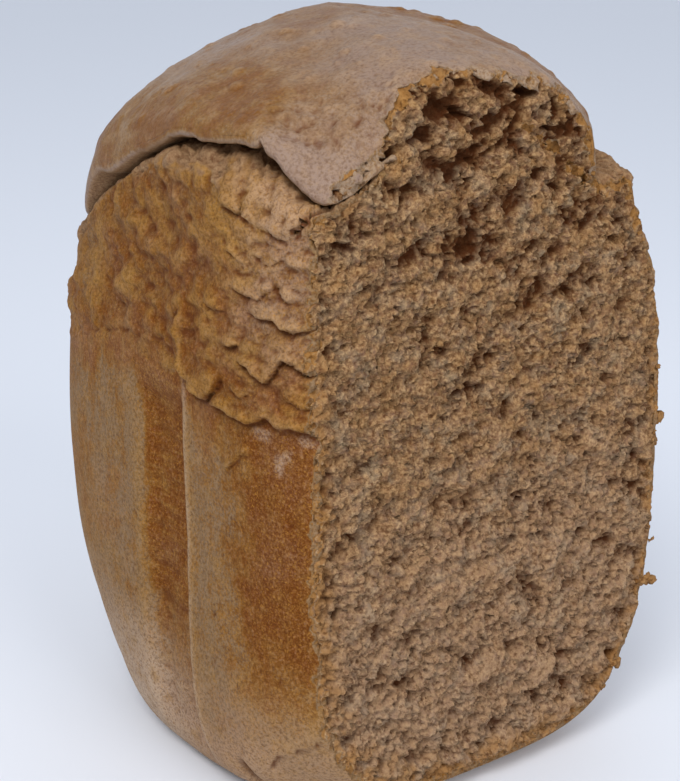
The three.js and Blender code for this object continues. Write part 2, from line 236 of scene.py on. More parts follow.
# Creases of the ribbed side: how far the skin above stands out, how far that reaches, and the crease
# in (y, z), with the raised skin above it, or on its near side where it runs straight down.
shownCreases = [
    (0.3, 3.0, [(29.1, 101.5), (21.9, 103.3), (17.5, 104.4), (7.8, 106.8), (5.3, 103.7)]),
    (0.25, 4.0, [(5.3, 103.7), (2.5, 103.4), (-2.3, 101.4), (-7.6, 101.4), (-13, 103.4)]),
    (1.5, 2.5, [(-14.2, 117), (-12.9, 111.7), (-13.3, 107.4), (-13, 103.4), (-16.3, 100.1)]),
    (1.6, 4.0, [(-16.3, 100.1), (-19.2, 98.7), (-23.1, 98.2), (-26.4, 100.9), (-29, 105.1)]),
    (1.0, 3.0, [(-24.8, 97.5), (-32, 97.3), (-37.5, 96.8), (-42.1, 98.9), (-45.4, 97.8), (-48.9, 98.2),
                (-52.3, 97.8), (-56, 95)]),
    (1.1, 3.0, [(-28.7, 112), (-32.6, 112.5), (-36.4, 114.1)]),
    (1.4, 3.5, [(-34, 110.6), (-38.7, 108.3), (-42.8, 106.8), (-45.2, 110.1), (-46.7, 112.5),
                (-49.5, 111.8), (-52.2, 110.4), (-56, 110.2)]),
    (1.3, 3.5, [(-37.2, 121.3), (-41.6, 120.3), (-44.4, 120.6), (-46.1, 119), (-48.6, 118.7),
                (-52.3, 120.1), (-55, 123)]),
    (1.0, 2.5, [(-31.5, 125.8), (-36.9, 124.4), (-40.6, 124.6), (-44.8, 127.3)]),
    (0.8, 2.0, [(-44.2, 129), (-45.7, 125.7), (-48.8, 123.6)]),
    (0.6, 2.5, [(-29, 83), (-32.7, 86.4), (-34.7, 88.3), (-38.4, 90.6)]),
    (0.3, 2.0, [(-18.5, 79.4), (-24.1, 81.1)]),
    (1.3, 2.5, [(-29, 142), (-34.9, 140.9), (-39.2, 139.4)]),
    (1.1, 2.5, [(-39.8, 139.6), (-44.2, 138), (-47.4, 137.6)]),
    (1.6, 2.0, [(-47.4, 138), (-50.1, 139.3), (-51.3, 142.3), (-51.5, 145.1)]),
    (0.8, 2.0, [(-30, 133), (-35.3, 131.5)]),
    (0.7, 1.5, [(-52.5, 137), (-53.6, 134.3), (-53.9, 129)]),
    (0.6, 1.5, [(-38, 133.5), (-42, 132.2), (-46.5, 133.6), (-49.5, 131.4)]),
    (0.7, 2.0, [(-23, 121), (-27, 119), (-31, 119.8)]),
    (0.8, 2.0, [(-47, 104.5), (-50.5, 103), (-55, 104.5)]),
    (0.7, 2.0, [(-31, 103.8), (-35.5, 102.4), (-39, 103.6)]),
]

# waves of the ribbed side over y and z, and the ledges and scales of its wrinkled corner
shownWaves = {
    "wobble": (1.75, 3.1, 3.1, 0.3, 71, 2), "sway": (1.6, 2.7, 2.7, 0.7, 72, 2),
    "lumps": [(4.2, 11, 7, 0.4, 73, 2), (3, 4.6, 3.2, 0.4, 76, 2), (1.2, 1.9, 1.4, 0.4, 78, 2)],
    "ledgeDrift": (9, 8, 11, 0.2, 84, 2), "ledgeRise": 6.2, "ledgeDepth": 0.9,
    "scaleSize": (5.2, 3.4), "grit": (1.8, 1.9, 1.4, 0.4, 79, 3),
    "streaks": [(0.35, 2.4, 30, 0.4, 81, 2), (1.2, 9, 16, 0.4, 82, 2)],
}

# dimples and pin holes of the ribbed side: y, z, half width, half height, depth
shownDimples = [
    (-8.4, 132.3, 2.2, 4, 0.6), (-22.2, 133.6, 2.4, 3, 0.4), (-18.8, 129.2, 2, 4.5, 0.6),
    (-10.8, 121.8, 3, 2.4, 0.6), (-16, 121, 2.2, 2, 0.6), (-5.9, 117.4, 3, 2.2, 0.7),
    (14.2, 110.7, 3, 2.6, 0.8), (31.2, 120, 3, 3, 0.6), (17.1, 119.1, 3, 3, 0.6),
    (4.6, 120.4, 3, 2.6, 0.5), (23.1, 105, 2.4, 1.6, 0.7), (11.7, 105.7, 2.5, 1.4, 0.8),
    (-24, 112, 2, 1.6, 0.6), (-48.8, 76.4, 0.8, 1.1, 0.7), (6.3, 62.2, 0.6, 1.2, 0.5),
    (-25.3, 48.5, 0.55, 0.6, 0.9), (-45.8, 38.4, 0.7, 1.0, 0.7), (-25.4, 37.5, 0.4, 1.4, 0.4),
    (30, 96.7, 1.2, 1.5, 0.6), (-31.7, 16.5, 0.8, 1.6, 0.6),
]

# pale patches under the hem where the skin has flaked: y, z, half width, half height
paleFlakes = [(-41.5, 95.2, 2.4, 1.4), (-45.8, 89.4, 1.1, 2.2), (-47.7, 91.6, 1.1, 1.6),
              (-52.5, 96, 2, 1.2)]

# cleft, crack and bulges at the foot of the near corner
footCleft = {"y": -30.3, "lean": 0.12, "leanFrom": 8, "top": 15, "depth": 3.4, "width": 1.3}
footCrack = (0.8, 1.6, [(-36, 13.5), (-40.5, 16.8), (-46.5, 21.5), (-50, 25.5), (-57, 29.5)])
footBulges = [(1.3, -36, 6, 8, 9), (0.9, -25, 5, 7, 8)]  # height, y, half width, z, half height
footWaves = [(5, 6, 6, 0.5, 86, 2), (5, 6, 6, 0.9, 87, 2)]


def ribPlace(x, y, z):  # place along the side, and the two edges of the rib's groove there
    relief = crustRelief
    place = np.where(x < 0, y, -y)
    drop = np.clip(1 - z / relief["ribHeight"], 0, 1)
    near = relief["ribNear"] - relief["ribNearDrift"] * drop ** relief["ribDriftPower"]
    return place, near, relief["ribFar"] - relief["ribFarDrift"] * drop


def ribGroove(x, y, z):
    relief = crustRelief
    place, near, far = ribPlace(x, y, z)
    steep = ramp(place, near - 1, near + 1.2)
    gentle = 1 - ramp(place, far - 4, far + 4)
    onSide = ramp(np.abs(x), form["halfWidth"] - 30, form["halfWidth"] - 12)
    below = 1 - ramp(z, relief["ribTop"] - 6, relief["ribTop"] + 4)
    return -relief["ribDepth"] * steep * gentle * onSide * below


def hemHeight(angle):
    relief = crustRelief
    lobes = lengthAt(np.mod(angle, 360)) / relief["hemLobe"]
    wide = lobes + relief["hemWander"] * noise(lobes * 0.45, 3.7, 1.2, 5)
    hang = 1 - np.abs(2 * (wide - np.floor(wide)) - 1) ** 2
    drift = relief["hemDrift"] * (noise(lobes * 0.7, 8.1, 2.2, 6) - 0.5)
    return roundAt(relief["hem"], angle) - relief["hemDrop"] * hang + drift


def onShownSide(angle):  # 1 on the ribbed side that has its own list of creases
    return ramp(angle, 148, 158) * (1 - ramp(angle, 236, 244))


def shownHemHeight(y):
    at, height = np.array(crustRelief["shownHem"]).T
    return np.interp(y, at, height) + flatWaves(y, 0.4, crustRelief["shownHemWaves"])


def creaseRelief(y, z, lift, reach, path):
    nearest = np.full(np.shape(y), 1e3)
    side = np.ones(np.shape(y))
    along = np.zeros(np.shape(y))
    start = 0
    for (y0, z0), (y1, z1) in zip(path, path[1:]):
        dy, dz = y1 - y0, z1 - z0
        length = math.hypot(dy, dz)
        t = np.clip(((y - y0) * dy + (z - z0) * dz) / length ** 2, 0, 1)
        ey, ez = y - y0 - dy * t, z - z0 - dz * t
        far = np.hypot(ey, ez)
        closer = far < nearest
        side = np.where(closer, -np.sign(dy * ez - dz * ey), side)
        along = np.where(closer, start + t * length, along)
        nearest = np.where(closer, far, nearest)
        start += length
    ends = ramp(along, -0.5, 2.5) * ramp(start - along, -0.5, 2.5)
    raised = 1.35 * lift * np.exp(-(nearest / reach) ** 2) * ramp(nearest, -0.3, 1.1)
    sunk = -0.7 * lift * np.exp(-(nearest / 0.75) ** 2)
    return ends * np.where(side > 0, raised, sunk)


def shownRelief(y, z):  # the ribbed side's own creases, dimples and lumps
    waves = shownWaves
    wy = y + flatWaves(y, z, waves["wobble"])
    wz = z + flatWaves(y, z, waves["sway"])
    total = np.zeros(np.shape(y))
    for lift, reach, path in shownCreases:
        total += creaseRelief(wy, wz, lift, reach, path)
    for dy, dz, halfWidth, halfHeight, depth in shownDimples:
        total -= depth * np.exp(-((wy - dy) / halfWidth) ** 2 - ((wz - dz) / halfHeight) ** 2)
    soft = ramp(y, *crustRelief["softSide"])
    hem = shownHemHeight(y)
    above = ramp(z, hem - 0.5 - 4 * soft, hem + 1.5 + 5 * soft)
    corner = ramp(-y, 24, 34)
    lumps = sum(flatWaves(y, z, layer) for layer in waves["lumps"])
    rise = (wz + flatWaves(wy, wz, waves["ledgeDrift"])) / waves["ledgeRise"]
    rise = rise - np.floor(rise)
    ledges = waves["ledgeDepth"] * (1 - rise) * ramp(rise, 0, 0.25)
    wide, tall = waves["scaleSize"]
    scales = puffed(wy / wide, wz / tall, np.full(np.shape(y), 0.4), 77) ** 0.6 - 0.6
    scales = 0.6 * scales + 0.5 * ledges + flatWaves(y, z, waves["grit"])
    total += above * blend(lumps, scales, corner)
    return total + (1 - above) * sum(flatWaves(y, z, layer) for layer in waves["streaks"])


def footRelief(y, z):
    cleft = footCleft
    line = cleft["y"] + cleft["lean"] * (z - cleft["leanFrom"])
    near = np.exp(-((y - line) / cleft["width"]) ** 2)
    total = -cleft["depth"] * near * (1 - ramp(z, cleft["top"] * 0.5, cleft["top"]))
    for height, middleY, halfWidth, middleZ, halfHeight in footBulges:
        gap = ((y - middleY) / halfWidth) ** 2 + ((z - middleZ) / halfHeight) ** 2
        total += height * np.exp(-gap)
    wy, wz = (place + flatWaves(y, z, layer) for place, layer in zip((y, z), footWaves))
    lift, reach, path = footCrack
    return total + creaseRelief(wy, wz, lift, reach, path)


def wallRelief(angle, x, y, z):
    relief = crustRelief
    shown = onShownSide(angle)
    hem = blend(hemHeight(angle), shownHemHeight(y), shown)
    above = ramp(z, hem - 0.5, hem + blend(1.6, 0.7, shown))
    foot = roundAt(form["bandFoot"], angle)
    warp = solidWaves(x, y, z, relief["puffWarp"])
    wide, deep, tall = relief["puffSize"]
    scale = puffed((x + warp) / wide, (y + warp) / deep, (z + warp) / tall, 11)
    wide, deep, tall = relief["finePuffSize"]
    fine = puffed((x + warp) / wide, (y - warp) / deep, (z + warp) / tall, 14)
    lumps = relief["puffHeight"] * (scale - 0.6) + relief["finePuffHeight"] * (fine - 0.5)
    lumps = lumps + sum(solidWaves(x, y, z, layer) for layer in relief["lumps"])
    hidden = above * (1 - ramp(z, foot - 6, foot)) * (lumps - 0.8)
    hidden = hidden + (1 - above) * solidWaves(x, y, z, relief["smoothWall"])
    own = shownRelief(y, z) * (1 - 0.5 * ramp(z, foot - 1, foot + 2)) - 0.8 * above * ramp(y, 8, 26)
    step = above * relief["hemStep"] * (1 - shown * ramp(y, *relief["softSide"]))
    ripple = solidWaves(y, z, x, relief["ripple"]) * blend(relief["rippleHidden"], 1, shown)
    groove = ribGroove(x, y, z) * (1 - relief["rippleShare"] * ripple)
    size = relief["swellSize"]
    swell = relief["swellHeight"] * (noise(x / size, y / size, z / size, 21) - 0.5)
    return groove + step + blend(hidden, own, shown) + swell


# how high up the band its torn crumb starts; below that the crust goes on, crumpled
tornFrom = [(0, 0.1), (140, 0.1), (160, 0.2), (200, 0.22), (208, 0.4), (214, 0.62), (222, 0.75),
            (230, 0.7), (238, 0.2), (300, 0.1)]

# waves along the torn band, its crack and the cap's lip, and the short split beside the loose flap
edgeWaves = {
    "torn": (1.1, 3.2, 0.25, 0.5, 311, 3), "crack": (1.6, 2.1, 1, 0.5, 301, 2),
    "lip": (1.5, 5, 1, 0.5, 303, 3),
}
lipTear = {"angle": 215.3, "width": 0.6, "height": 1.5}


def tornShare(angle, share):  # share: 0 at the foot of the band, 1 at the crack
    along = lengthAt(np.mod(angle, 360))
    start = roundAt(tornFrom, angle)
    return ramp(share + flatWaves(along, share, edgeWaves["torn"]), start - 0.1, start + 0.12)


# spacing of the columns in mm, and rows of each part of the loaf
gridSteps = {"fine": 0.64, "coarse": 1.35}
gridRows = {"edge": 44, "wall": 186, "band": 18, "under": 5, "lip": 9, "dome": 92}


def columnAngles():
    angles, angle = [], 0.0
    while angle < 360:
        angles.append(angle)
        fine = ramp(angle, 130, 140) * (1 - ramp(angle, 316, 324))
        perDegree = lengthAt(angle + 0.5) - lengthAt(max(angle - 0.5, 0))
        angle += blend(gridSteps["coarse"], gridSteps["fine"], fine) / max(perDegree, 0.6)
    return np.array(angles) * 360 / angle


def wallPoint(angle, inset, z):
    climb = np.clip((z - form["leanStart"]) / form["leanSpan"], 0, 1.2)
    plain = panRadius(angle, inset) - roundAt(form["lean"], angle) * climb ** form["leanPower"]
    x, y = plain * np.cos(np.radians(angle)), plain * np.sin(np.radians(angle))
    foot = footRelief(y, z) * ramp(angle, 190, 198) * ramp(-x, 20, 34) * (1 - ramp(angle, 236, 244))
    return plain + wallRelief(angle, x, y, z) * ramp(z, 2, 20) + foot * ramp(z, 0.5, 4), z


def capRadius(angle):
    return panRadius(angle, roundAt(form["capInset"], angle)) + roundAt(form["flap"], angle)


def crackHeight(angle):  # top of the torn crumb under the cap
    along = lengthAt(np.mod(angle, 360))
    return roundAt(form["crack"], angle) + flatWaves(along, 0.5, edgeWaves["crack"])


def lipHeight(angle, detail=True):  # lower edge of the cap
    tear = lipTear["height"] * np.exp(-((angle - lipTear["angle"]) / lipTear["width"]) ** 2)
    ragged = flatWaves(lengthAt(np.mod(angle, 360)), 0.5, edgeWaves["lip"])
    return roundAt(form["crack"], angle) + roundAt(form["lipGap"], angle) + detail * (tear + ragged)


def ringAt(part, share, angle):
    quarter = share * math.pi / 2
    bandZ, crackZ = roundAt(form["bandFoot"], angle), crackHeight(angle)
    if part == "edge":
        inset = roundAt(form["edgeInset"], angle) * (1 - math.sin(quarter)) ** form["edgePower"]
        return wallPoint(angle, inset, roundAt(form["edgeRise"], angle) * (1 - math.cos(quarter)))
    if part == "wall":
        return wallPoint(angle, 0, blend(roundAt(form["edgeRise"], angle), bandZ, share))
    wallTop = wallPoint(angle, 0, bandZ)[0]
    bandTop = wallTop - roundAt(form["bandInset"], angle)
    depth = form["crackReach"] * roundAt(form["crackDepth"], angle)
    crackFloor = np.minimum(bandTop, capRadius(angle) - 1) - depth
    if part == "band":
        bulge = form["bandBulge"] * math.sin(math.pi * share) ** 2
        radius = blend(crackFloor, wallTop, math.cos(quarter)) + bulge
        return radius, blend(bandZ, crackZ, math.sin(quarter))
    lipZ = lipHeight(angle)
    if part == "under":
        lip = capRadius(angle) - form["lipRadius"]
        return blend(crackFloor, lip, share), blend(blend(crackZ, lipZ, 0.6), lipZ, share)
    turn = (share - 0.5) * math.pi
    radius = capRadius(angle) + form["lipRadius"] * (math.cos(turn) - 1)
    return radius, lipZ + form["lipRadius"] * (1 + math.sin(turn))


def domePoint(angle, reach):
    waves = reach ** form["domeFade"]
    flat = blend(form["domeCrown"], roundAt(form["domeFlat"], angle), reach)
    flap = roundAt(form["flap"], angle)
    rimEdge = capRadius(angle) - flap - form["lipRadius"] * 0.1
    rim = blend(panRadius(angle, form["domeInset"], form["domePlan"]), rimEdge, waves)
    rim = rim + flap * reach ** form["flapFade"]
    lipTop = lipHeight(angle, False) + form["lipRadius"] * 1.4
    rimZ = blend(form["domeFoot"], lipTop, waves)
    apexX, apexY, apexZ = form["apex"]
    x = apexX * (1 - reach) + rim * reach * np.cos(np.radians(angle))
    y = apexY * (1 - reach) + rim * reach * np.sin(np.radians(angle))
    return np.stack([x, y, rimZ + (apexZ - rimZ) * (1 - reach ** flat) ** (1 / form["domePower"])], -1)


def gridNormals(points):
    around = np.roll(points, -1, 1) - np.roll(points, 1, 1)
    up = np.gradient(points, axis=0)
    normal = np.cross(around, up)
    return normal / np.maximum(np.linalg.norm(normal, axis=2, keepdims=True), 1e-9)


# Pores of the crumb: depth, stretch along their slant, spacing, share of cells, radius in mm.
# The finest cells of real crumb are too small to show, so the smallest pores here are about 1 mm wide.
crumbPores = [(1.9, 1.5, 4.6, 0.3, 0.85), (1.3, 1.4, 2.1, 0.5, 0.6), (0.95, 1.2, 1.05, 0.75, 0.44)]
crumbForm = {
    "slant": 28,  # of the pores, in degrees
    "drift": (2.4, 1.2, 1.2), "bend": (6, 5, 5),  # height, width and tallness of the waves in mm
    "fine": (4.2, 1.15, 1.15), "clumps": (6, 6.5, 4.6),
    "grit": 0.7, "gritPerMm": 2.3,
}


def crumbRelief(u, v, seed):  # torn crumb, in mm of depth, over a flat field
    look = crumbForm
    u = u + flatWaves(u, v, (*look["drift"], 0.2, seed + 41, 2))
    v = v + flatWaves(u, v, (*look["drift"], 0.7, seed + 43, 2))
    slant = math.radians(look["slant"])
    along, across = u * math.cos(slant) + v * math.sin(slant), v * math.cos(slant) - u * math.sin(slant)
    along = along + flatWaves(u, v, (*look["bend"], 0.2, seed + 40, 2))
    deepest = np.zeros(np.shape(u))
    for number, (depth, stretch, size, share, radius) in enumerate(crumbPores):
        bowls = pores(along / stretch, across, size, share, radius, seed + number)
        deepest = np.maximum(deepest, depth * bowls)
    fine = flatWaves(u, v, (*look["fine"], 0.4, seed + 8, 2))
    cells = np.round(u * look["gritPerMm"]), np.round(v * look["gritPerMm"])
    grit = look["grit"] * (cellRandom(*cells, 3, seed + 10) - 0.5)
    return deepest + fine + grit + flatWaves(along, across, (*look["clumps"], 0.6, seed + 6, 3))


capForm = {
    "waves": [(2.6, 26, 26, 26, 91, 2), (0.9, 7, 7, 7, 94, 3), (0.3, 1.6, 1.6, 1.6, 97, 2)],
    "bubbleHeight": 0.42, "bubbleSpacing": 7, "bubbleShare": 0.4, "bubbleRadius": 1.3,
    "roughEdge": (2, 1.6, 1.6, 3, 98, 3),  # over the loose flap
    # single blisters: angle, reach from the apex, half width, height in mm
    "blisters": [
        (228, 0.36, 1.7, 0.5), (236, 0.42, 1.2, 0.35), (222, 0.5, 1.4, 0.4), (242, 0.55, 1.5, 0.5),
        (249, 0.28, 1.3, 0.35), (215, 0.3, 1.0, 0.3), (205, 0.45, 1.1, 0.3), (255, 0.5, 1.2, 0.4),
        (232, 0.66, 1.0, 0.3), (262, 0.62, 1.6, 0.4),
    ],
}


def capRelief(points, angle, reach):
    cap = capForm
    x, y, z = np.moveaxis(points, -1, 0)
    total = sum(solidWaves(x, y, z, layer) for layer in cap["waves"])
    bubbles = pores(x, y, cap["bubbleSpacing"], cap["bubbleShare"], cap["bubbleRadius"], 221)
    total = total + cap["bubbleHeight"] * bubbles
    rough = ramp(angle, 208, 218) * (1 - ramp(angle, 240, 248)) * ramp(reach, 0.76, 0.93)
    total = total + rough * solidWaves(x, y, z, cap["roughEdge"])
    for at, far, halfWidth, height in cap["blisters"]:
        ring = domePoint(np.array([float(at)]), far)[0]
        gap = np.sqrt(((points - ring) ** 2).sum(-1))
        total = total + height * np.exp(-(gap / halfWidth) ** 2)
    return total * ramp(1 - reach, 0, 0.06)


def loafGrid():
    angles = columnAngles()
    rows, parts, shares = [], [], []

    def add(part, first=1, ease=lambda t: t):
        count = gridRows[part]
        for i in range(first, count + 1):
            radius, z = ringAt(part, ease(i / count), angles)
            x, y = radius * np.cos(np.radians(angles)), radius * np.sin(np.radians(angles))
            rows.append(np.stack([x, y, z + 0 * radius], -1))
            parts.append(part)
            shares.append(i / count)

    add("edge", 0)
    add("wall", 1, lambda t: t ** 0.78)  # closer together towards the puffed hem
    add("band")
    add("under")
    add("lip", 1, lambda t: t * form["lipShare"])
    for i in range(gridRows["dome"]):
        reach = math.cos(i / gridRows["dome"] * math.pi / 2) ** 0.9
        rows.append(domePoint(angles, reach))
        parts.append("dome")
        shares.append(reach)
    points, parts, shares = np.array(rows), np.array(parts), np.array(shares)

    # torn crumb of the band and waves of the cap go along the normals
    normals = gridNormals(points)
    lengths = lengthAt(angles)[None, :]
    torn = np.isin(parts, ["band", "under"])
    isBand = (parts[torn] == "band")[:, None]
    bandShare = np.where(isBand, shares[torn][:, None], 1) + 0 * lengths
    x, y, z = np.moveaxis(points[torn], -1, 0)
    arc = z - np.hypot(x, y)
    tornOpen = np.where(isBand, tornShare(angles[None, :], bandShare), 0.3 * (1 - shares[torn])[:, None])
    depth = crumbRelief(lengths + 0 * arc, arc, 121) - 0.6
    depth = np.maximum(depth, -0.3 - ramp(angles, 165, 180))  # nothing stands out at the far left edge
    nearFlap = ramp(angles, 200, 208) * (1 - ramp(angles, 234, 240))
    crumpled = shownRelief(y, z) * onShownSide(angles[None, :]) * isBand
    crumpled = crumpled * (1 - tornOpen) * ramp(1 - bandShare, 0, 0.2) * nearFlap
    points[torn] += normals[torn] * (crumpled - 0.75 * tornOpen * depth)[..., None]
    dome = parts == "dome"
    lift = capRelief(points[dome], angles[None, :], shares[dome][:, None])
    points[dome] += normals[dome] * lift[..., None]
    return angles, points, parts, shares


def boxBlurred(values, rows, columns):  # mean over a window of the grid, which is closed round the loaf
    wide = np.concatenate([values[:, -columns:], values, values[:, :columns]], 1)
    sums = np.cumsum(np.concatenate([0 * wide[:, :1], wide], 1), 1)
    across = (sums[:, 2 * columns + 1:] - sums[:, :-2 * columns - 1]) / (2 * columns + 1)
    tall = np.concatenate([np.repeat(across[:1], rows, 0), across, np.repeat(across[-1:], rows, 0)], 0)
    sums = np.cumsum(np.concatenate([0 * tall[:1], tall], 0), 0)
    return (sums[2 * rows + 1:] - sums[:-2 * rows - 1]) / (2 * rows + 1)


def makeObject(name, points, faces):
    mesh = bpy.data.meshes.new(name)
    mesh.vertices.add(len(points))
    mesh.vertices.foreach_set("co", (np.asarray(points) * metre).ravel())
    corners = np.concatenate([np.asarray(f).ravel() for f in faces])
    sizes = np.concatenate([np.full(len(f), np.shape(f)[1]) for f in faces])
    mesh.loops.add(len(corners))
    mesh.loops.foreach_set("vertex_index", corners)
    mesh.polygons.add(len(sizes))
    mesh.polygons.foreach_set("loop_start", np.concatenate([[0], np.cumsum(sizes)[:-1]]))
    mesh.update(calc_edges=True)
    mesh.validate()
    thing = bpy.data.objects.new(name, mesh)
    bpy.context.scene.collection.objects.link(thing)
    return thing


def closedRings(name, rings, bottom, top):
    count = rings.shape[1]
    points = np.concatenate([[bottom], rings.reshape(-1, 3), [top]])
    i = np.arange(count)
    following = (i + 1) % count
    start = 1 + count * np.arange(len(rings) - 1)[:, None]
    upper = start + count
    quads = np.stack([start + i, start + following, upper + following, upper + i], -1).reshape(-1, 4)
    last = 1 + count * (len(rings) - 1)
    fans = np.concatenate([
        np.stack([0 * i, 1 + following, 1 + i], -1),
        np.stack([0 * i + len(points) - 1, last + i, last + following], -1)])
    return makeObject(name, points, [quads, fans])


def carve(thing, tool, operation):
    cut = thing.modifiers.new("cut", "BOOLEAN")
    cut.operation = operation
    cut.solver = "MANIFOLD"
    cut.object = tool
    result = bpy.data.meshes.new_from_object(thing.evaluated_get(bpy.context.evaluated_depsgraph_get()))
    thing.modifiers.clear()
    old = thing.data
    thing.data = result
    bpy.data.meshes.remove(old)


def dropCrumbs(thing):  # leaves only the largest connected part of a carved piece
    shape = bmesh.new()
    shape.from_mesh(thing.data)
    parts, seen = [], set()
    for start in shape.verts:
        if start in seen:
            continue
        seen.add(start)
        part, edge = [start], [start]
        while edge:
            for link in edge.pop().link_edges:
                for vertex in link.verts:
                    if vertex not in seen:
                        seen.add(vertex)
                        part.append(vertex)
                        edge.append(vertex)
        parts.append(part)
    largest = max(parts, key=len)
    loose = [vertex for part in parts if part is not largest for vertex in part]
    bmesh.ops.delete(shape, geom=loose, context="VERTS")
    shape.to_mesh(thing.data)
    shape.free()


def discard(thing):
    mesh = thing.data
    bpy.data.objects.remove(thing)
    bpy.data.meshes.remove(mesh)


def setAttribute(mesh, name, values):
    layer = mesh.attributes.new(name, "FLOAT", "POINT")
    layer.data.foreach_set("value", np.asarray(values, dtype=np.float32))


def smoothed(thing):
    thing.data.polygons.foreach_set("use_smooth", np.ones(len(thing.data.polygons), bool))
    thing.data.update()


cutFace = {
    "spacing": 0.44,  # of the crumb's points, in mm
    "lumps": (1.3, 4.5, 41), "swell": (1.5, 14, 42),  # broad unevenness: height, size, seed
    "coarseFrom": 118, "coarseTo": 150,  # the crumb is torn more coarsely up to the cap
    "coarse": (5, 3.4, 2.6, 0.1, 133, 3), "lowCoarse": (5, 3.2, 2.4, 0.1, 135, 3),
    "holeDrift": [(6, 2.2, 2.2, 0.2, 137, 2), (6, 2.2, 2.2, 0.8, 138, 2)],
    "slab": 7,  # how far the crumb piece reaches into the loaf
    "crustWall": 1.3,  # thickness of the crust round the crumb piece
    "crustGap": 0.65, "capGap": 0.85,  # the crust ends about this far behind the crumb's face
    "crustEdge": (1, 1.8, 1.8, 0.3, 139, 2), "crustTear": 3.4, "capTear": 4,
    "rimWaves": (8, 1.2, 1.2, 1.2, 161, 2),  # the crumb's rim is ragged by these
    "skin": 0.15,  # the crumb piece lies this far inside the crust's surface
    "jitter": 0.7,  # share of the spacing by which points move, so that no rows show
}

# holes and tears of the cut face: x, z, half width, half height, depth
cutHoles = [
    (-34.5, 153.5, 2.0, 2.2, 4), (-38.6, 149.4, 2.2, 1.1, 3), (-24.8, 157.5, 2.0, 2.0, 4),
    (-20, 161.2, 3.2, 3.0, 5), (-14.8, 159.3, 2.0, 1.6, 4), (-7.2, 157, 2.4, 1.3, 2.5),
    (-4.6, 164.4, 3.2, 1.8, 3), (2.8, 163.8, 2.4, 1.8, 4.5), (9, 155, 3.0, 1.1, 3.5),
    (10.8, 158.6, 1.8, 1.4, 3), (-1.9, 155, 1.8, 1.8, 2.5), (-13.5, 150, 2.4, 1.1, 2),
    (-9.6, 150.8, 1.4, 1.1, 2), (26, 143, 2.0, 1.8, 3), (17.4, 155, 1.4, 2.4, 2.5),
    (-26, 166.4, 1.6, 1.0, 2.5), (-15.6, 167, 2.6, 1.0, 3), (-11.6, 131.8, 3.6, 2.4, 2.2),
    (-6, 128, 2, 1.4, 1.8), (-43, 147.5, 1.6, 1.0, 2), (-26.5, 119.3, 1.2, 1.0, 1.8),
    (24.6, 111.2, 1.2, 1.0, 1.6), (-18.1, 109.5, 1.4, 1.1, 1.8), (-7.8, 97.7, 1.3, 1.0, 1.6),
    (-23.7, 82.6, 1.1, 1.0, 1.6), (14.6, 71.2, 1.3, 1.1, 1.6), (-18.2, 66, 1.0, 1.1, 1.5),
    (-27.1, 42.1, 1.1, 1.0, 2), (-21.5, 40.5, 1.0, 1.3, 2), (-11.2, 37, 1.6, 0.9, 2),
    (-5.8, 32.4, 1.4, 1.3, 1.8), (12.9, 41.2, 1.4, 1.2, 2), (-3, 49.3, 1.5, 1.0, 1.8),
    (11.5, 23, 1.4, 2.2, 2.4), (3.2, 15, 1.6, 2.2, 2.2), (16.6, 30.3, 1.6, 1.0, 2.2),
]

# crack under the cap's flap, where it runs on into the cut: x, z
flapCrack = [(-60, 147.5), (-56.4, 147.1), (-51.1, 146.7), (-45.9, 148.1), (-40.4, 151.3),
             (-36.1, 152.9), (-30, 155)]
flapCrackWaves = (1.5, 2.5, 1, 0.5, 145, 2)

# tufts of crumb that hang out over the right edge of the cut: z, lean in x and z, count of lumps, size
cutTufts = [
    (80, 0.75, 0.35, 6, 0.7), (78, 0.5, -0.9, 7, 0.6), (39, 0.8, 0.1, 9, 0.95),
    (18.5, 0.7, -0.25, 7, 0.85), (49, 1, 0.15, 5, 0.35), (107.4, 0.8, 0.4, 3, 0.45),
    (126, 0.7, 0.5, 4, 0.5), (63, 0.8, -0.2, 3, 0.5), (13, 0.7, -0.3, 3, 0.5), (94, 0.8, 0.2, 3, 0.45),
]


def broadDepth(x, z):
    rows = (cutFace["lumps"], cutFace["swell"])
    return sum(height * (noise(x / size, z / size, 0.5, seed) - 0.5) for height, size, seed in rows)


def rimField(shell):  # distance to the crust's surface in the plane of the cut, over x and z
    step = 1.5
    tree = BVHTree.FromObject(shell, bpy.context.evaluated_depsgraph_get())
    across, upward = np.arange(-66, 67, step), np.arange(-8, 186, step)
    field = np.empty((len(upward), len(across)))
    for row, z in enumerate(upward):
        for column, x in enumerate(across):
            spot = Vector((x, form["cutAt"] + 1, z)) * metre
            field[row, column] = tree.find_nearest(spot)[3] / metre

    def at(x, z):
        u = np.clip((x - across[0]) / step, 0, len(across) - 1.001)
        v = np.clip((z - upward[0]) / step, 0, len(upward) - 1.001)
        i, j = np.floor(u).astype(int), np.floor(v).astype(int)
        u, v = u - i, v - j
        low = blend(field[j, i], field[j, i + 1], u)
        high = blend(field[j + 1, i], field[j + 1, i + 1], u)
        return blend(low, high, v)

    return at


def overFlapCrack(x, z):  # height over the crack that runs on from the flap into the cut
    at, height = np.array(flapCrack).T
    return z - np.interp(x, at, height) - flatWaves(x, 0.5, flapCrackWaves)


def flapSkin(x, y, z):
    return ramp(overFlapCrack(x, z), 0.2, 0.9) * (1 - ramp(x, -38, -35))


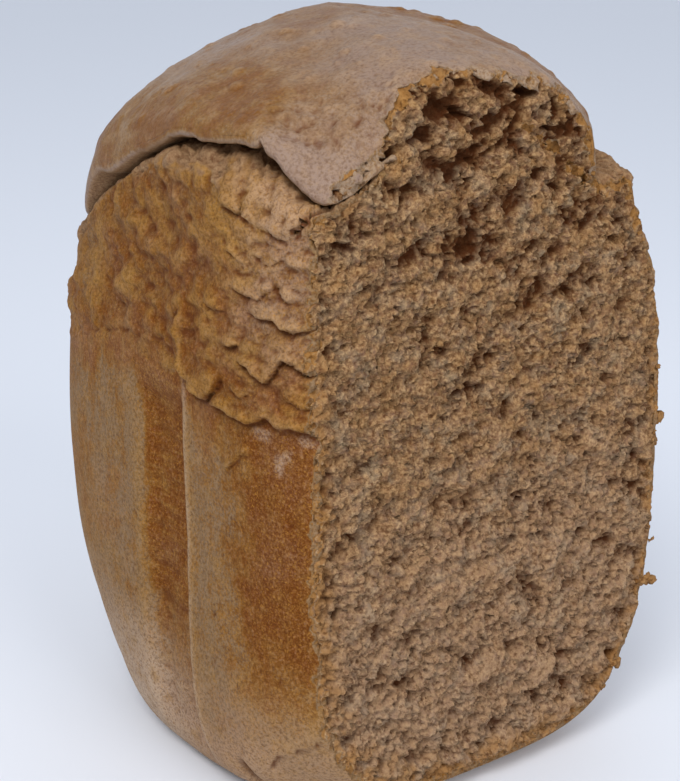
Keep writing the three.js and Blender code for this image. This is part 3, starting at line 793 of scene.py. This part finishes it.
def faceDepth(x, z):
    face = cutFace
    coarse = ramp(z, face["coarseFrom"], face["coarseTo"])
    total = crumbRelief(x, z, 131) + coarse * flatWaves(x, z, face["coarse"])
    total = total + (1 - ramp(z, 20, 75)) * flatWaves(x, z, face["lowCoarse"])
    wx, wz = (place + flatWaves(x, z, layer) for place, layer in zip((x, z), face["holeDrift"]))
    for hx, hz, halfWidth, halfHeight, depth in cutHoles:
        gap = ((wx - hx) / halfWidth) ** 2 + ((wz - hz) / halfHeight) ** 2
        total = total + depth * np.exp(-gap ** 2)
    crack = np.exp(-((overFlapCrack(x, z) + 0.4) / 0.8) ** 2) * (1 - ramp(x, -34, -30))
    total = total * (1 - 0.8 * flapSkin(x, 0, z)) + 3 * crack
    rim = np.maximum(ramp(rimDistance(x, z), 0.2, 1.6), 0.7 * coarse)
    return np.clip(broadDepth(x, z) + blend(0.35 * total, total, rim), -1.6, face["slab"] - 1.5)


def crustEnd(x, z):  # where the crust ends behind the cut, with two torn gaps under the cap
    upper = ramp(z, 140, 148)
    gap = blend(cutFace["crustGap"], cutFace["capGap"], upper)
    gap = gap + 2.5 * ramp(x, 12, 18) * ramp(z, 126, 132) * (1 - ramp(z, 152, 158))
    gap = gap + 3 * np.exp(-((x + 24) / 9) ** 2) * ramp(z, 153, 158)
    tear = (cutFace["crustTear"] + cutFace["capTear"] * upper) * (1 - 0.8 * flapSkin(x, 0, z))
    return broadDepth(x, z) + gap + tear * flatWaves(x, z, cutFace["crustEdge"])


def faceBlock(name, spacing, depthAt, far, attributes=None):
    left, right, low, high = -66.0, 66.0, -8.0, 184.0  # a little wider and taller than the loaf
    across = np.linspace(left, right, int((right - left) / spacing) + 1)
    upward = np.linspace(low, high, int((high - low) / spacing) + 1)
    x, z = np.meshgrid(across, upward)
    jitter = np.zeros(x.shape)
    jitter[1:-1, 1:-1] = spacing * cutFace["jitter"]
    x = x + jitter * (cellRandom(np.round(x / spacing), np.round(z / spacing), 1, 151) - 0.5)
    z = z + jitter * (cellRandom(np.round(x * 3.1 / spacing), np.round(z / spacing), 2, 152) - 0.5)
    y = form["cutAt"] + depthAt(x, z)
    points = np.stack([x, y, z], -1).reshape(-1, 3)
    rows, columns = x.shape
    index = np.arange(rows * columns).reshape(rows, columns)
    quads = np.stack([index[:-1, :-1], index[:-1, 1:], index[1:, 1:], index[1:, :-1]], -1).reshape(-1, 4)
    rim = np.concatenate([index[0, :-1], index[:-1, -1], index[-1, :0:-1], index[:0:-1, 0]])
    back = points[rim].copy()
    back[:, 1] = far
    middle = np.array([[0, far, (low + high) / 2]])
    first = len(points)
    i = np.arange(len(rim))
    following = (i + 1) % len(rim)
    sides = np.stack([rim[following], rim, first + i, first + following], -1)
    fan = np.stack([0 * i + first + len(rim), first + following, first + i], -1)
    if far < form["cutAt"]:  # a block in front of the face is turned inside out
        quads, sides, fan = quads[:, ::-1], sides[:, ::-1], fan[:, ::-1]
    block = makeObject(name, np.concatenate([points, back, middle]), [quads, sides, fan])
    for key, valueAt in (attributes or {}).items():
        setAttribute(block.data, key, np.concatenate([valueAt(*points.T), np.zeros(len(rim) + 1)]))
    return block


print("loaf: form and relief")
angles, grid, parts, shares = loafGrid()
floorMiddle = np.array([0, 0, 0.0])
apex = np.array([form["apex"][0], form["apex"][1], grid[-1][:, 2].mean()])
up = np.array([0, 0, 1.0])
wholeNormals = gridNormals(grid)
smoothGrid = boxBlurred(boxBlurred(grid, 2, 2), 2, 2)
relief = ((grid - smoothGrid) * wholeNormals).sum(-1)
broadRelief = ((grid - boxBlurred(boxBlurred(grid, 5, 5), 5, 5)) * wholeNormals).sum(-1)


zoneWaves = {  # over x, y and z: height, sizes in mm, seed, octaves
    "mottle": (2, 11, 11, 11, 201, 3), "fineMottle": (2, 3, 3, 3, 205, 2),
    "capMottle": (2, 15, 15, 15, 211, 3),
    "streakDrift": (9, 14, 18, 0.6, 214, 2), "streaks": (3, 2, 20, 0.3, 213, 4),  # flat, over y and z
}


def crustZones():  # how toasted, pink, torn and creased the crust is at each point of the grid
    x, y, z = np.moveaxis(grid, -1, 0)
    angle = angles[None, :] + 0 * z
    row = shares[:, None]
    shown = onShownSide(angle)
    hem = blend(hemHeight(angle), shownHemHeight(y), shown)
    mottle = solidWaves(x, y, z, zoneWaves["mottle"])
    fineMottle = solidWaves(x, y, z, zoneWaves["fineMottle"])
    isCap = np.isin(parts, ["lip", "dome"])[:, None]
    isLip = (parts == "lip")[:, None]

    # the rib's groove is toasted, and so is the strip beside the cut
    place, near, far = ribPlace(x, y, z)
    far = far + 0.5 + 1.2 * mottle
    onSide = ramp(np.abs(x), 34, 46)
    rib = ramp(place, near - 0.3, near + 1.2) * (1 - ramp(place, far - 1.5, far + 1.5)) * onSide
    rib = rib * (1 - ramp(z, hem - 3, hem + 1)) * blend(0.25, 1, ramp(z, 18, 62))
    seam = 37 + 5 * mottle + 7 * fineMottle
    browned = ramp(-y, seam - 12, seam + 8) * ramp(z + 10 * mottle, 22, 50) * (x < 0)

    # smooth wall below the hem, puffed crust above it
    soft = ramp(y, *crustRelief["softSide"])
    above = ramp(z + 5 * soft * fineMottle, hem - 1 - 3 * soft, hem + 1 + 4 * soft)
    underHem = ramp(z + 6 * mottle, hem - 12, hem - 2) * (1 - above) * 0.6
    wander = y + flatWaves(y, z, zoneWaves["streakDrift"])
    streaks = flatWaves(wander, z, zoneWaves["streaks"]) * ramp(y, -12, -4)
    low = 0.2 + 0.3 * mottle + 0.3 * fineMottle - 0.2 * (1 - ramp(z, 10, 45)) + 0.5 * streaks
    wall = np.clip(np.maximum(np.maximum(rib, browned), underHem) + low * 0.7, 0, 1)
    pale = ramp(-y, 28, 42) * ramp(z, 104, 122)
    lobes = np.clip(0.85 + 0.4 * mottle - 0.55 * pale - 0.25 * ramp(z, 120, 142), 0, 1)
    hidden = np.clip(0.42 + 0.8 * mottle + 0.2 * above, 0, 1)
    toast = blend(hidden, blend(wall, lobes, above), shown)
    pink = np.maximum(pale * 0.75, (1 - ramp(z, 8, 40)) * 0.7) + 0.4 * mottle

    # cap: pinkish on top, more toasted to the left and duskier to the right
    left = ramp(angle, 140, 165) * (1 - ramp(angle, 205, 222)) * ramp(row, 0.45, 1)
    capMottle = solidWaves(x, y, z, zoneWaves["capMottle"])
    dusky = ramp(x, 4, 34)
    capToast = 0.36 + 0.8 * capMottle + 0.55 * left + 0.5 * dusky
    capPink = 0.66 - 0.8 * capMottle - 1.1 * left - 0.6 * dusky

    # torn crumb in the band, under the cap and inside its lip
    torn = np.where((parts == "band")[:, None], tornShare(angle, row + 0 * z), 0)
    torn = np.where((parts == "under")[:, None], 1.0, torn)
    torn = np.where(isLip, 1 - ramp(row, 0.25, 0.5), torn)
    # painted shade: creases of the relief are darkened, partly the crust's own darker colour there and
    # partly painted shade
    crease = np.clip(-relief / 0.35 - 0.2, 0, 1) * blend(1, 0.5, torn)
    above = above * ~isCap
    flakes = 0
    for dy, dz, wide, tall in paleFlakes:
        flakes = flakes + np.exp(-((y - dy) / wide) ** 4 - ((z - dz) / tall) ** 4)
    flakes = np.clip(1.4 * flakes + fineMottle * (flakes > 0.05), 0, 1) * shown * (1 - above) * (x < 0)
    speck = blend(blend(0.5, 1, wall), 0.8, above) * ~isCap + 0.3 * isCap
    ashen = (1 - ramp(z + 8 * mottle, 6, 46)) * blend(1, 0.12, ramp(-y, -4, 22)) * (1 - 0.6 * rib)
    # painted highlight: a pale line along the ridge at the groove's near edge
    ridgeHighlight = np.exp(-((place - near + 1.2) / 0.8) ** 2) * onSide * (1 - ramp(z, hem - 5, hem - 1))
    # painted shade: hollows of the broad relief are darkened with the purple colour
    hollow = np.clip(-broadRelief / 0.8, 0, 1) * blend(1, 0.4, torn)
    return {
        "toast": np.clip(np.where(isCap, capToast, toast), 0, 1),
        "pink": np.clip(np.where(isCap, capPink, pink), 0, 1),
        "torn": torn,
        "crease": crease,
        # raised skin is drawn more golden and paler: partly the paler skin of blisters, partly a painted
        # highlight
        "bulge": np.clip(broadRelief / 0.8, 0, 1) * ~(isCap & (row > 0.9) | isLip),
        "hollow": hollow * blend(0.25, 1, np.maximum(above, torn)),
        "speck": speck,
        "ashen": np.clip((ashen + 0.45 * ridgeHighlight) * ~isCap + 0.55 * flakes, 0, 1),
        "groove": rib * ~isCap,
        "browned": np.maximum(browned, 0.5 * rib) * shown * (1 - above) * ~isCap,
        "upper": above * (1 - torn),
    }


zones = crustZones()


def shell(name, rows, outline, before=0, after=0, bottom=floorMiddle, top=apex):
    # a closed body of grid rows, with pulled-in rings below or above them
    thing = closedRings(name, outline, bottom, top)
    for key, values in zones.items():
        picked = values[rows]
        picked = np.concatenate([picked[:1]] * before + [picked] + [picked[-1:]] * after)
        ends = picked[:1].mean(), picked[-1:].mean()
        setAttribute(thing.data, key, np.concatenate([[ends[0]], picked.ravel(), [ends[1]]]))
    return thing


def pulledIn(ring, share, rise):
    moved = ring * [share, share, 1]
    moved[:, 2] += rise
    return moved


def poles(inset):  # middle of the base and of the top for a skin this far inside the crust's surface
    return floorMiddle + up * inset, apex - up * inset


nearCut = np.exp(-((grid[..., 1] - form["cutAt"]) / 4) ** 4) * np.where(grid[..., 2] > 3, 1, 0)
ragged = np.clip(solidWaves(*np.moveaxis(grid, -1, 0), cutFace["rimWaves"]) - 0.4, -1.2, 0.05)
inner = grid - wholeNormals * (cutFace["skin"] - nearCut * ragged)[..., None]
wholeInner = closedRings("wholeInner", inner, *poles(cutFace["skin"]))
setAttribute(wholeInner.data, "rind", np.ones(len(wholeInner.data.vertices)))
rimDistance = rimField(wholeInner)

# rings inside the loaf that close the crust above and the cap below: share of the crack's ring, rise
crustLid = {"rings": [(0.9, 1.5), (0.6, 2)], "middle": 149}
capFloor = {"rings": [(0.6, -8), (0.88, -5)], "middle": 138}

underRow = int(np.argmax(parts == "under"))
crackRing = grid[underRow - 1]
wallRings = np.concatenate([grid[:underRow], [pulledIn(crackRing, *move) for move in crustLid["rings"]]])
crust = shell("crust", slice(0, underRow), wallRings, after=2, top=up * crustLid["middle"])
capRings = np.concatenate([[pulledIn(crackRing, *move) for move in capFloor["rings"]], grid[underRow - 1:]])
cap = shell("crustCap", slice(underRow - 1, None), capRings, before=2, bottom=up * capFloor["middle"])

print("cut face: crumb")
pocketRings = (smoothGrid - gridNormals(smoothGrid) * cutFace["crustWall"])[::2, ::2]
pocket = closedRings("pocket", pocketRings, *poles(cutFace["crustWall"]))
roughCut = faceBlock("roughCut", 0.8, crustEnd, -120)
pocketEnd = faceBlock("pocketEnd", 12, lambda x, z: 0 * x + cutFace["slab"] - 1, -120)
carve(pocket, pocketEnd, "INTERSECT")
for thing in (crust, cap):
    carve(thing, roughCut, "DIFFERENCE")
    carve(thing, pocket, "DIFFERENCE")


def poreShade(x, y, z):
    # painted shade: the crumb darkens with the depth of its pores; besides, it is drawn darker towards the
    # top and the right
    depth = y - form["cutAt"] - broadDepth(x, z)
    darkerUpAndRight = ramp(z, 90, 145) * (0.28 + 0.2 * ramp(x, -36, 4)) + 0.08 * ramp(x, 0, 45)
    return np.clip(depth / 2.6 + darkerUpAndRight - 0.1, -0.3, 1.5)


def lowShade(x, y, z):
    return 1 - ramp(z + 60 * layeredNoise(x / 30, z / 30, 0.5, 143, 2), 20, 120)


def rindShade(x, y, z):
    wander = np.clip(1 + 4 * layeredNoise(x / 2.5, z / 2.5, 0.5, 141, 3), 0.3, 2)
    width = blend(1.2, 2.6, np.clip(ramp(-x, 20, 50) + 1 - ramp(z, 12, 40), 0, 1)) * wander
    return blend(1, 0.3, ramp(z, 85, 125)) * np.exp(-(rimDistance(x, z) / width) ** 2)


# the pore attribute is painted shade by the pores' depth, with the crumb darker towards the top and the
# right
crumb = faceBlock("crumb", cutFace["spacing"], faceDepth, form["cutAt"] + cutFace["slab"],
                  {"pore": poreShade, "rind": rindShade, "low": lowShade, "skin": flapSkin})
carve(crumb, wholeInner, "INTERSECT")
for tool in (roughCut, pocketEnd, pocket, wholeInner):
    discard(tool)
for thing in (crust, cap, crumb):
    dropCrumbs(thing)


def crumbTufts():
    ball = bmesh.new()
    bmesh.ops.create_icosphere(ball, subdivisions=2, radius=1)
    unit = np.array([v.co for v in ball.verts])
    faces = np.array([[v.index for v in f.verts] for f in ball.faces])
    ball.free()
    points, triangles = [], []
    for number, (z, leanX, leanZ, count, size) in enumerate(cutTufts):
        tries = np.arange(20, 62, 0.25)
        x = tries[np.argmin(rimDistance(tries, z + 0 * tries))] - 0.5 * size
        y = form["cutAt"] + 0.8
        for step in range(count):
            jitter = [cellRandom(number, step, axis, 171) - 0.5 for axis in range(6)]
            wide = size * (0.7 + 0.7 * (jitter[3] + 0.5))
            place = unit * 1.3 + number * 7 + step * 3  # so each lump is dented in its own way
            lump = unit * (1 + 2.4 * layeredNoise(*place.T, 173, 2))[:, None]
            lump = lump * wide * [1 + jitter[4], 0.9, 1 + jitter[5]]
            triangles.append(faces + len(unit) * len(points))
            points.append(lump + [x, y, z])
            x += (leanX + 1.1 * jitter[0]) * size
            y += 0.5 * jitter[1] * size
            z += (leanZ + 1.1 * jitter[2]) * size
    thing = makeObject("crumbTufts", np.concatenate(points), [np.concatenate(triangles)])
    for name, value in (("pore", 0), ("rind", 0.8), ("low", 0.2), ("skin", 0)):
        setAttribute(thing.data, name, np.full(len(thing.data.vertices), value))
    return thing


tufts = crumbTufts()
pieces = (crust, cap, crumb, tufts)
for thing in pieces:
    smoothed(thing)
    triangles = sum(len(face.vertices) - 2 for face in thing.data.polygons)
    print(thing.name, len(thing.data.vertices), "points", triangles, "triangles")


def addNode(tree, kind, inputs=None, output=0, **settings):
    node = tree.nodes.new("ShaderNode" + kind)
    for name, value in settings.items():
        setattr(node, name, value)
    for socket, value in (inputs or {}).items():
        if isinstance(value, bpy.types.NodeSocket):
            tree.links.new(value, node.inputs[socket])
        else:
            node.inputs[socket].default_value = value
    return node.outputs[output] if len(node.outputs) else node


def newMaterial(name):
    material = bpy.data.materials.new(name)
    material.use_nodes = True
    tree = material.node_tree
    tree.nodes.clear()
    surface = addNode(tree, "BsdfPrincipled")
    addNode(tree, "OutputMaterial", {"Surface": surface})
    return material, tree, surface.node


mixSockets = {"share": 0, "under": 6, "over": 7, "result": 2}  # of a colour mix, whose sockets share names


def coated(tree, colour, coats, look):  # lays one colour after another over the first
    sockets = mixSockets
    for source, low, high, most, mask, tone in coats:
        span = {"Value": source, "From Min": low, "From Max": high, "To Max": most}
        share = addNode(tree, "MapRange", span)
        share = addNode(tree, "Math", {0: share, 1: mask}, operation="MULTIPLY", use_clamp=True)
        over = linearColour(look[tone])
        layers = {sockets["share"]: share, sockets["under"]: colour, sockets["over"]: over}
        colour = addNode(tree, "Mix", layers, sockets["result"], data_type="RGBA")
    return colour


def finished(tree, shader, colour, height, look):
    relief = {"Height": height, "Strength": look["bump"], "Distance": look["bumpHeight"] * metre}
    bump = addNode(tree, "Bump", relief)
    tree.links.new(colour, shader.inputs["Base Color"])
    tree.links.new(bump, shader.inputs["Normal"])
    shader.inputs["Roughness"].default_value = look["roughness"]
    shader.inputs["Specular IOR Level"].default_value = look["specular"]
    shader.inputs["IOR"].default_value = look["ior"]


def patternsOf(tree, attributes, patterns):  # the piece's zones, its own place and its noise patterns
    zone = {key: addNode(tree, "Attribute", None, "Fac", attribute_name=key) for key in attributes}
    place = addNode(tree, "TexCoord", None, "Object")
    texture = {}
    for key, size, detail, rough in patterns:
        settings = {"Vector": place, "Scale": perSize(size), "Detail": detail, "Roughness": rough}
        texture[key] = addNode(tree, "TexNoise", settings)
    return zone, place, texture


crustLook = {
    "tan": "#846a4c", "honey": "#82561e", "toasted": "#723c06", "deep": "#4c2608",
    # Of these colours, purple also paints shade in the hollows, crevice paints the creases, partly the
    # crust's darker colour and partly painted shade, and the pale colour for raised skin is partly a
    # painted highlight.
    "pinkish": "#a08068", "purple": "#573222", "crumb": "#9c7c5a", "crumbDark": "#6e4a30",
    "crevice": "#5a2c0c", "speck": "#aa7832", "ashen": "#baa28a", "golden": "#a2783c",
    "paleBlisterAndSheen": "#b49478", "scorched": "#5c2c02",
    # Patterns: name, size in mm, detail, roughness. The skin's own grain of about 0.2 mm is too fine to
    # show, so grain and fleck are drawn as coarse as they need to show.
    "patterns": [("blotch", 5, 6, 0.65), ("grain", 0.8, 5, 0.75), ("fleck", 0.55, 3, 0.8),
                 ("cloud", 4, 4, 0.65), ("patch", 11, 4, 0.6)],
    "streakWidth": 1.3, "streakSize": 26, "rippleWidth": 9, "rippleSize": 1.1,
    "roughness": 0.6, "specular": 0.1, "ior": 1.45, "bump": 0.7, "bumpHeight": 0.45,
}


def bakedCrust(name, look):
    # pan-baked milk dough: a thin dry skin, matte with a faint butter sheen, orange-brown where it
    # touched hot metal
    material, tree, shader = newMaterial(name)
    zone, place, texture = patternsOf(tree, zones, look["patterns"])
    for key in ("streak", "ripple"):
        wide, tall = perSize(look[key + "Width"]), perSize(look[key + "Size"])
        stretched = addNode(tree, "Mapping", {"Vector": place, "Scale": (wide, wide, tall)})
        settings = {"Vector": stretched, "Scale": 1, "Detail": 3, "Roughness": 0.6}
        texture[key] = addNode(tree, "TexNoise", settings)
    share = zone["toast"]
    for key, amount in (("blotch", 0.75), ("streak", 0.25), ("fleck", 0.8)):
        span = {"Value": texture[key], "From Min": 0.3, "From Max": 0.7,
                "To Min": -amount / 2, "To Max": amount / 2}
        uneven = addNode(tree, "MapRange", span)
        share = addNode(tree, "Math", {0: share, 1: uneven}, operation="ADD", use_clamp=True)
    inner = addNode(tree, "Math", {0: 1.0, 1: zone["torn"]}, operation="SUBTRACT")
    coats = [  # what it follows, from, to, most share, where, colour
        (share, 0, 0.5, 1, 1.0, "honey"), (share, 0.5, 1, 1, 1.0, "toasted"),
        (zone["pink"], 0, 1, 0.8, 1.0, "pinkish"),
        (texture["cloud"], 0.47, 0.64, 0.8, zone["upper"], "purple"),
        (texture["patch"], 0.48, 0.64, 0.65, zone["upper"], "golden"),
        # raised skin: partly the blisters' paler skin, partly a painted highlight
        (zone["bulge"], 0.1, 1, 0.5, 1.0, "golden"),
        (zone["bulge"], 0.1, 1, 0.6, zone["pink"], "paleBlisterAndSheen"),
        # painted shade in the hollows
        (zone["hollow"], 0.1, 1, 0.6, 1.0, "purple"),
        (texture["ripple"], 0.52, 0.68, 0.45, zone["groove"], "golden"),
        (texture["ripple"], 0.48, 0.34, 0.4, zone["groove"], "toasted"),
        # the ashen colour also carries the painted highlight along the groove's ridge
        (zone["ashen"], 0, 1, 1, 1.0, "ashen"), (texture["cloud"], 0.52, 0.7, 0.6, zone["ashen"], "tan"),
        (texture["cloud"], 0.5, 0.66, 0.35, inner, "golden"),
        (texture["grain"], 0.54, 0.34, 0.7, inner, "deep"),
        (texture["grain"], 0.52, 0.68, 0.35, inner, "pinkish"),
        (texture["grain"], 0.64, 0.4, 0.7, zone["browned"], "scorched"),
        (texture["fleck"], 0.52, 0.68, 0.7, zone["speck"], "speck"),
        (texture["fleck"], 0.44, 0.3, 0.6, zone["speck"], "deep"),
        (zone["torn"], 0, 1, 1, 1.0, "crumb"),
        (texture["grain"], 0.6, 0.36, 0.9, zone["torn"], "crumbDark"),
        # the crevice colour in the creases: the crust's darker colour there together with painted shade
        (zone["crease"], 0, 1, 0.75, 1.0, "crevice"),
    ]
    colour = coated(tree, linearColour(look["tan"]), coats, look)
    height = addNode(tree, "Math", {0: texture["grain"], 1: texture["blotch"]}, operation="ADD")
    finished(tree, shader, colour, height, look)
    return material


crumbLook = {
    "light": "#ae8e68", "middle": "#7c5b40", "dark": "#44200a", "rind": "#966831", "plum": "#5e423a",
    "pale": "#a68a72", "gold": "#946c3c", "ash": "#877a64", "skin": "#8e6f56",
    # Patterns: name, size in mm, detail, roughness. The grain of the cell walls is finer than this, and
    # is drawn as coarse as it needs to show.
    "patterns": [("grain", 0.75, 4, 0.65), ("cloud", 6, 4, 0.65), ("patch", 2.2, 3, 0.65),
                 ("fibre", 1.2, 4, 0.65)],
    "roughness": 0.9, "ior": 1.4, "specular": 0.06, "bump": 0.9, "bumpHeight": 0.5,
}


def cocoaCrumb(name, look):
    # torn open crumb of cocoa dough: dry, wholly matte, pale on the cell walls and dark in the pores, where
    # the dark is painted shade
    material, tree, shader = newMaterial(name)
    zone, _, texture = patternsOf(tree, ("pore", "rind", "low", "skin"), look["patterns"])
    coats = [  # what it follows, from, to, most share, where, colour
        (texture["grain"], 0.4, 0.62, 1, 1.0, "light"),
        (texture["patch"], 0.5, 0.66, 0.6, 1.0, "plum"), (texture["cloud"], 0.46, 0.62, 0.4, 1.0, "gold"),
        (texture["cloud"], 0.48, 0.36, 0.45, 1.0, "ash"), (zone["low"], 0, 1, 0.4, 1.0, "pale"),
        (zone["rind"], 0, 1, 0.7, 1.0, "rind"),
        (texture["fibre"], 0.5, 0.36, 0.65, 1.0, "dark"), (zone["skin"], 0, 1, 0.9, 1.0, "skin"),
        # painted shade: the dark colour fills the pores by their depth, and darkens the crumb towards the
        # top and the right
        (zone["pore"], 0.2, 0.95, 0.92, 1.0, "dark"),
    ]
    colour = coated(tree, linearColour(look["middle"]), coats, look)
    finished(tree, shader, colour, texture["grain"], look)
    return material


print("materials")
# the cap baked in open air: greyer, with paler painted shade in the hollows, and a little glossier than the
# wall; the pale colour on its raised skin is partly a painted highlight
topLook = dict(crustLook, tan="#9a836c", honey="#86602a", toasted="#75450e", deep="#5d3c24",
               pinkish="#8e7668", golden="#a88660", purple="#6a4a38", speck="#ac8e66", paleBlisterAndSheen="#aa8c72",
               streakSize=4, roughness=0.35, specular=0.16)
crumbMaterial = cocoaCrumb("cocoaMilkCrumb", crumbLook)
crustMaterial = bakedCrust("panBakedCrust", crustLook)
capMaterial = bakedCrust("topBakedCrust", topLook)
for thing, finish in zip(pieces, (crustMaterial, capMaterial, crumbMaterial, crumbMaterial)):
    thing.data.materials.clear()
    thing.data.materials.append(finish)

for thing in pieces:
    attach(thing, "root")
    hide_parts("loaf")


stageLook = {"floor": "#e4e8f0", "floorSize": 8000, "world": (0.86, 0.91, 1.0), "worldStrength": 0.75}

print("stage")
half = stageLook["floorSize"] / 2
floorCorners = np.array([[-half, -half, 0], [half, -half, 0], [half, half, 0], [-half, half, 0]])
floor = makeObject("floor", floorCorners, [np.array([[0, 1, 2, 3]])])
floorMaterial, _, floorShader = newMaterial("paintedTable")
floorShader.inputs["Base Color"].default_value = linearColour(stageLook["floor"])
floorShader.inputs["Roughness"].default_value = 0.6
floor.data.materials.append(floorMaterial)

world = bpy.data.worlds.new("softRoom")
bpy.context.scene.world = world
world.use_nodes = True
world.node_tree.nodes["Background"].inputs[0].default_value = (*stageLook["world"], 1)
world.node_tree.nodes["Background"].inputs[1].default_value = stageLook["worldStrength"]


def softLight(name, place, target, size, power, colour):
    data = bpy.data.lights.new(name, "AREA")
    data.shape = "DISK"
    data.size = size
    data.energy = power
    data.color = colour
    lamp = bpy.data.objects.new(name, data)
    lamp.location = place
    lamp.rotation_euler = (Vector(target) - Vector(place)).to_track_quat("-Z", "Y").to_euler()
    bpy.context.scene.collection.objects.link(lamp)


softLight("keyLight", (-0.75, -0.55, 1.0), (0, 0, 0.08), 0.55, 9, (1.0, 0.985, 0.96))
softLight("frontLight", (-0.1, -1.3, 0.75), (0, 0, 0.08), 0.9, 7, (1.0, 0.99, 0.98))

photoCamera = {
    "place": (-261.36, -329.95, 220.05), "elevation": 18, "azimuth": 38, "roll": 1,
    "focal": 1800, "longSide": 781,  # both in pixels of the picture
    "sensor": 36,
}

cameraData = bpy.data.cameras.new("camera")
cameraData.sensor_width = photoCamera["sensor"]
cameraData.lens = photoCamera["focal"] / photoCamera["longSide"] * photoCamera["sensor"]
camera = bpy.data.objects.new("camera", cameraData)
turn = Matrix.Rotation(math.radians(-photoCamera["azimuth"]), 4, "Z")
tilt = Matrix.Rotation(math.radians(90 - photoCamera["elevation"]), 4, "X")
roll = Matrix.Rotation(math.radians(photoCamera["roll"]), 4, "Z")
camera.matrix_world = Matrix.Translation(Vector(photoCamera["place"]) * metre) @ turn @ tilt @ roll
bpy.context.scene.collection.objects.link(camera)
bpy.context.scene.camera = camera
bpy.context.scene.view_settings.view_transform = "Standard"
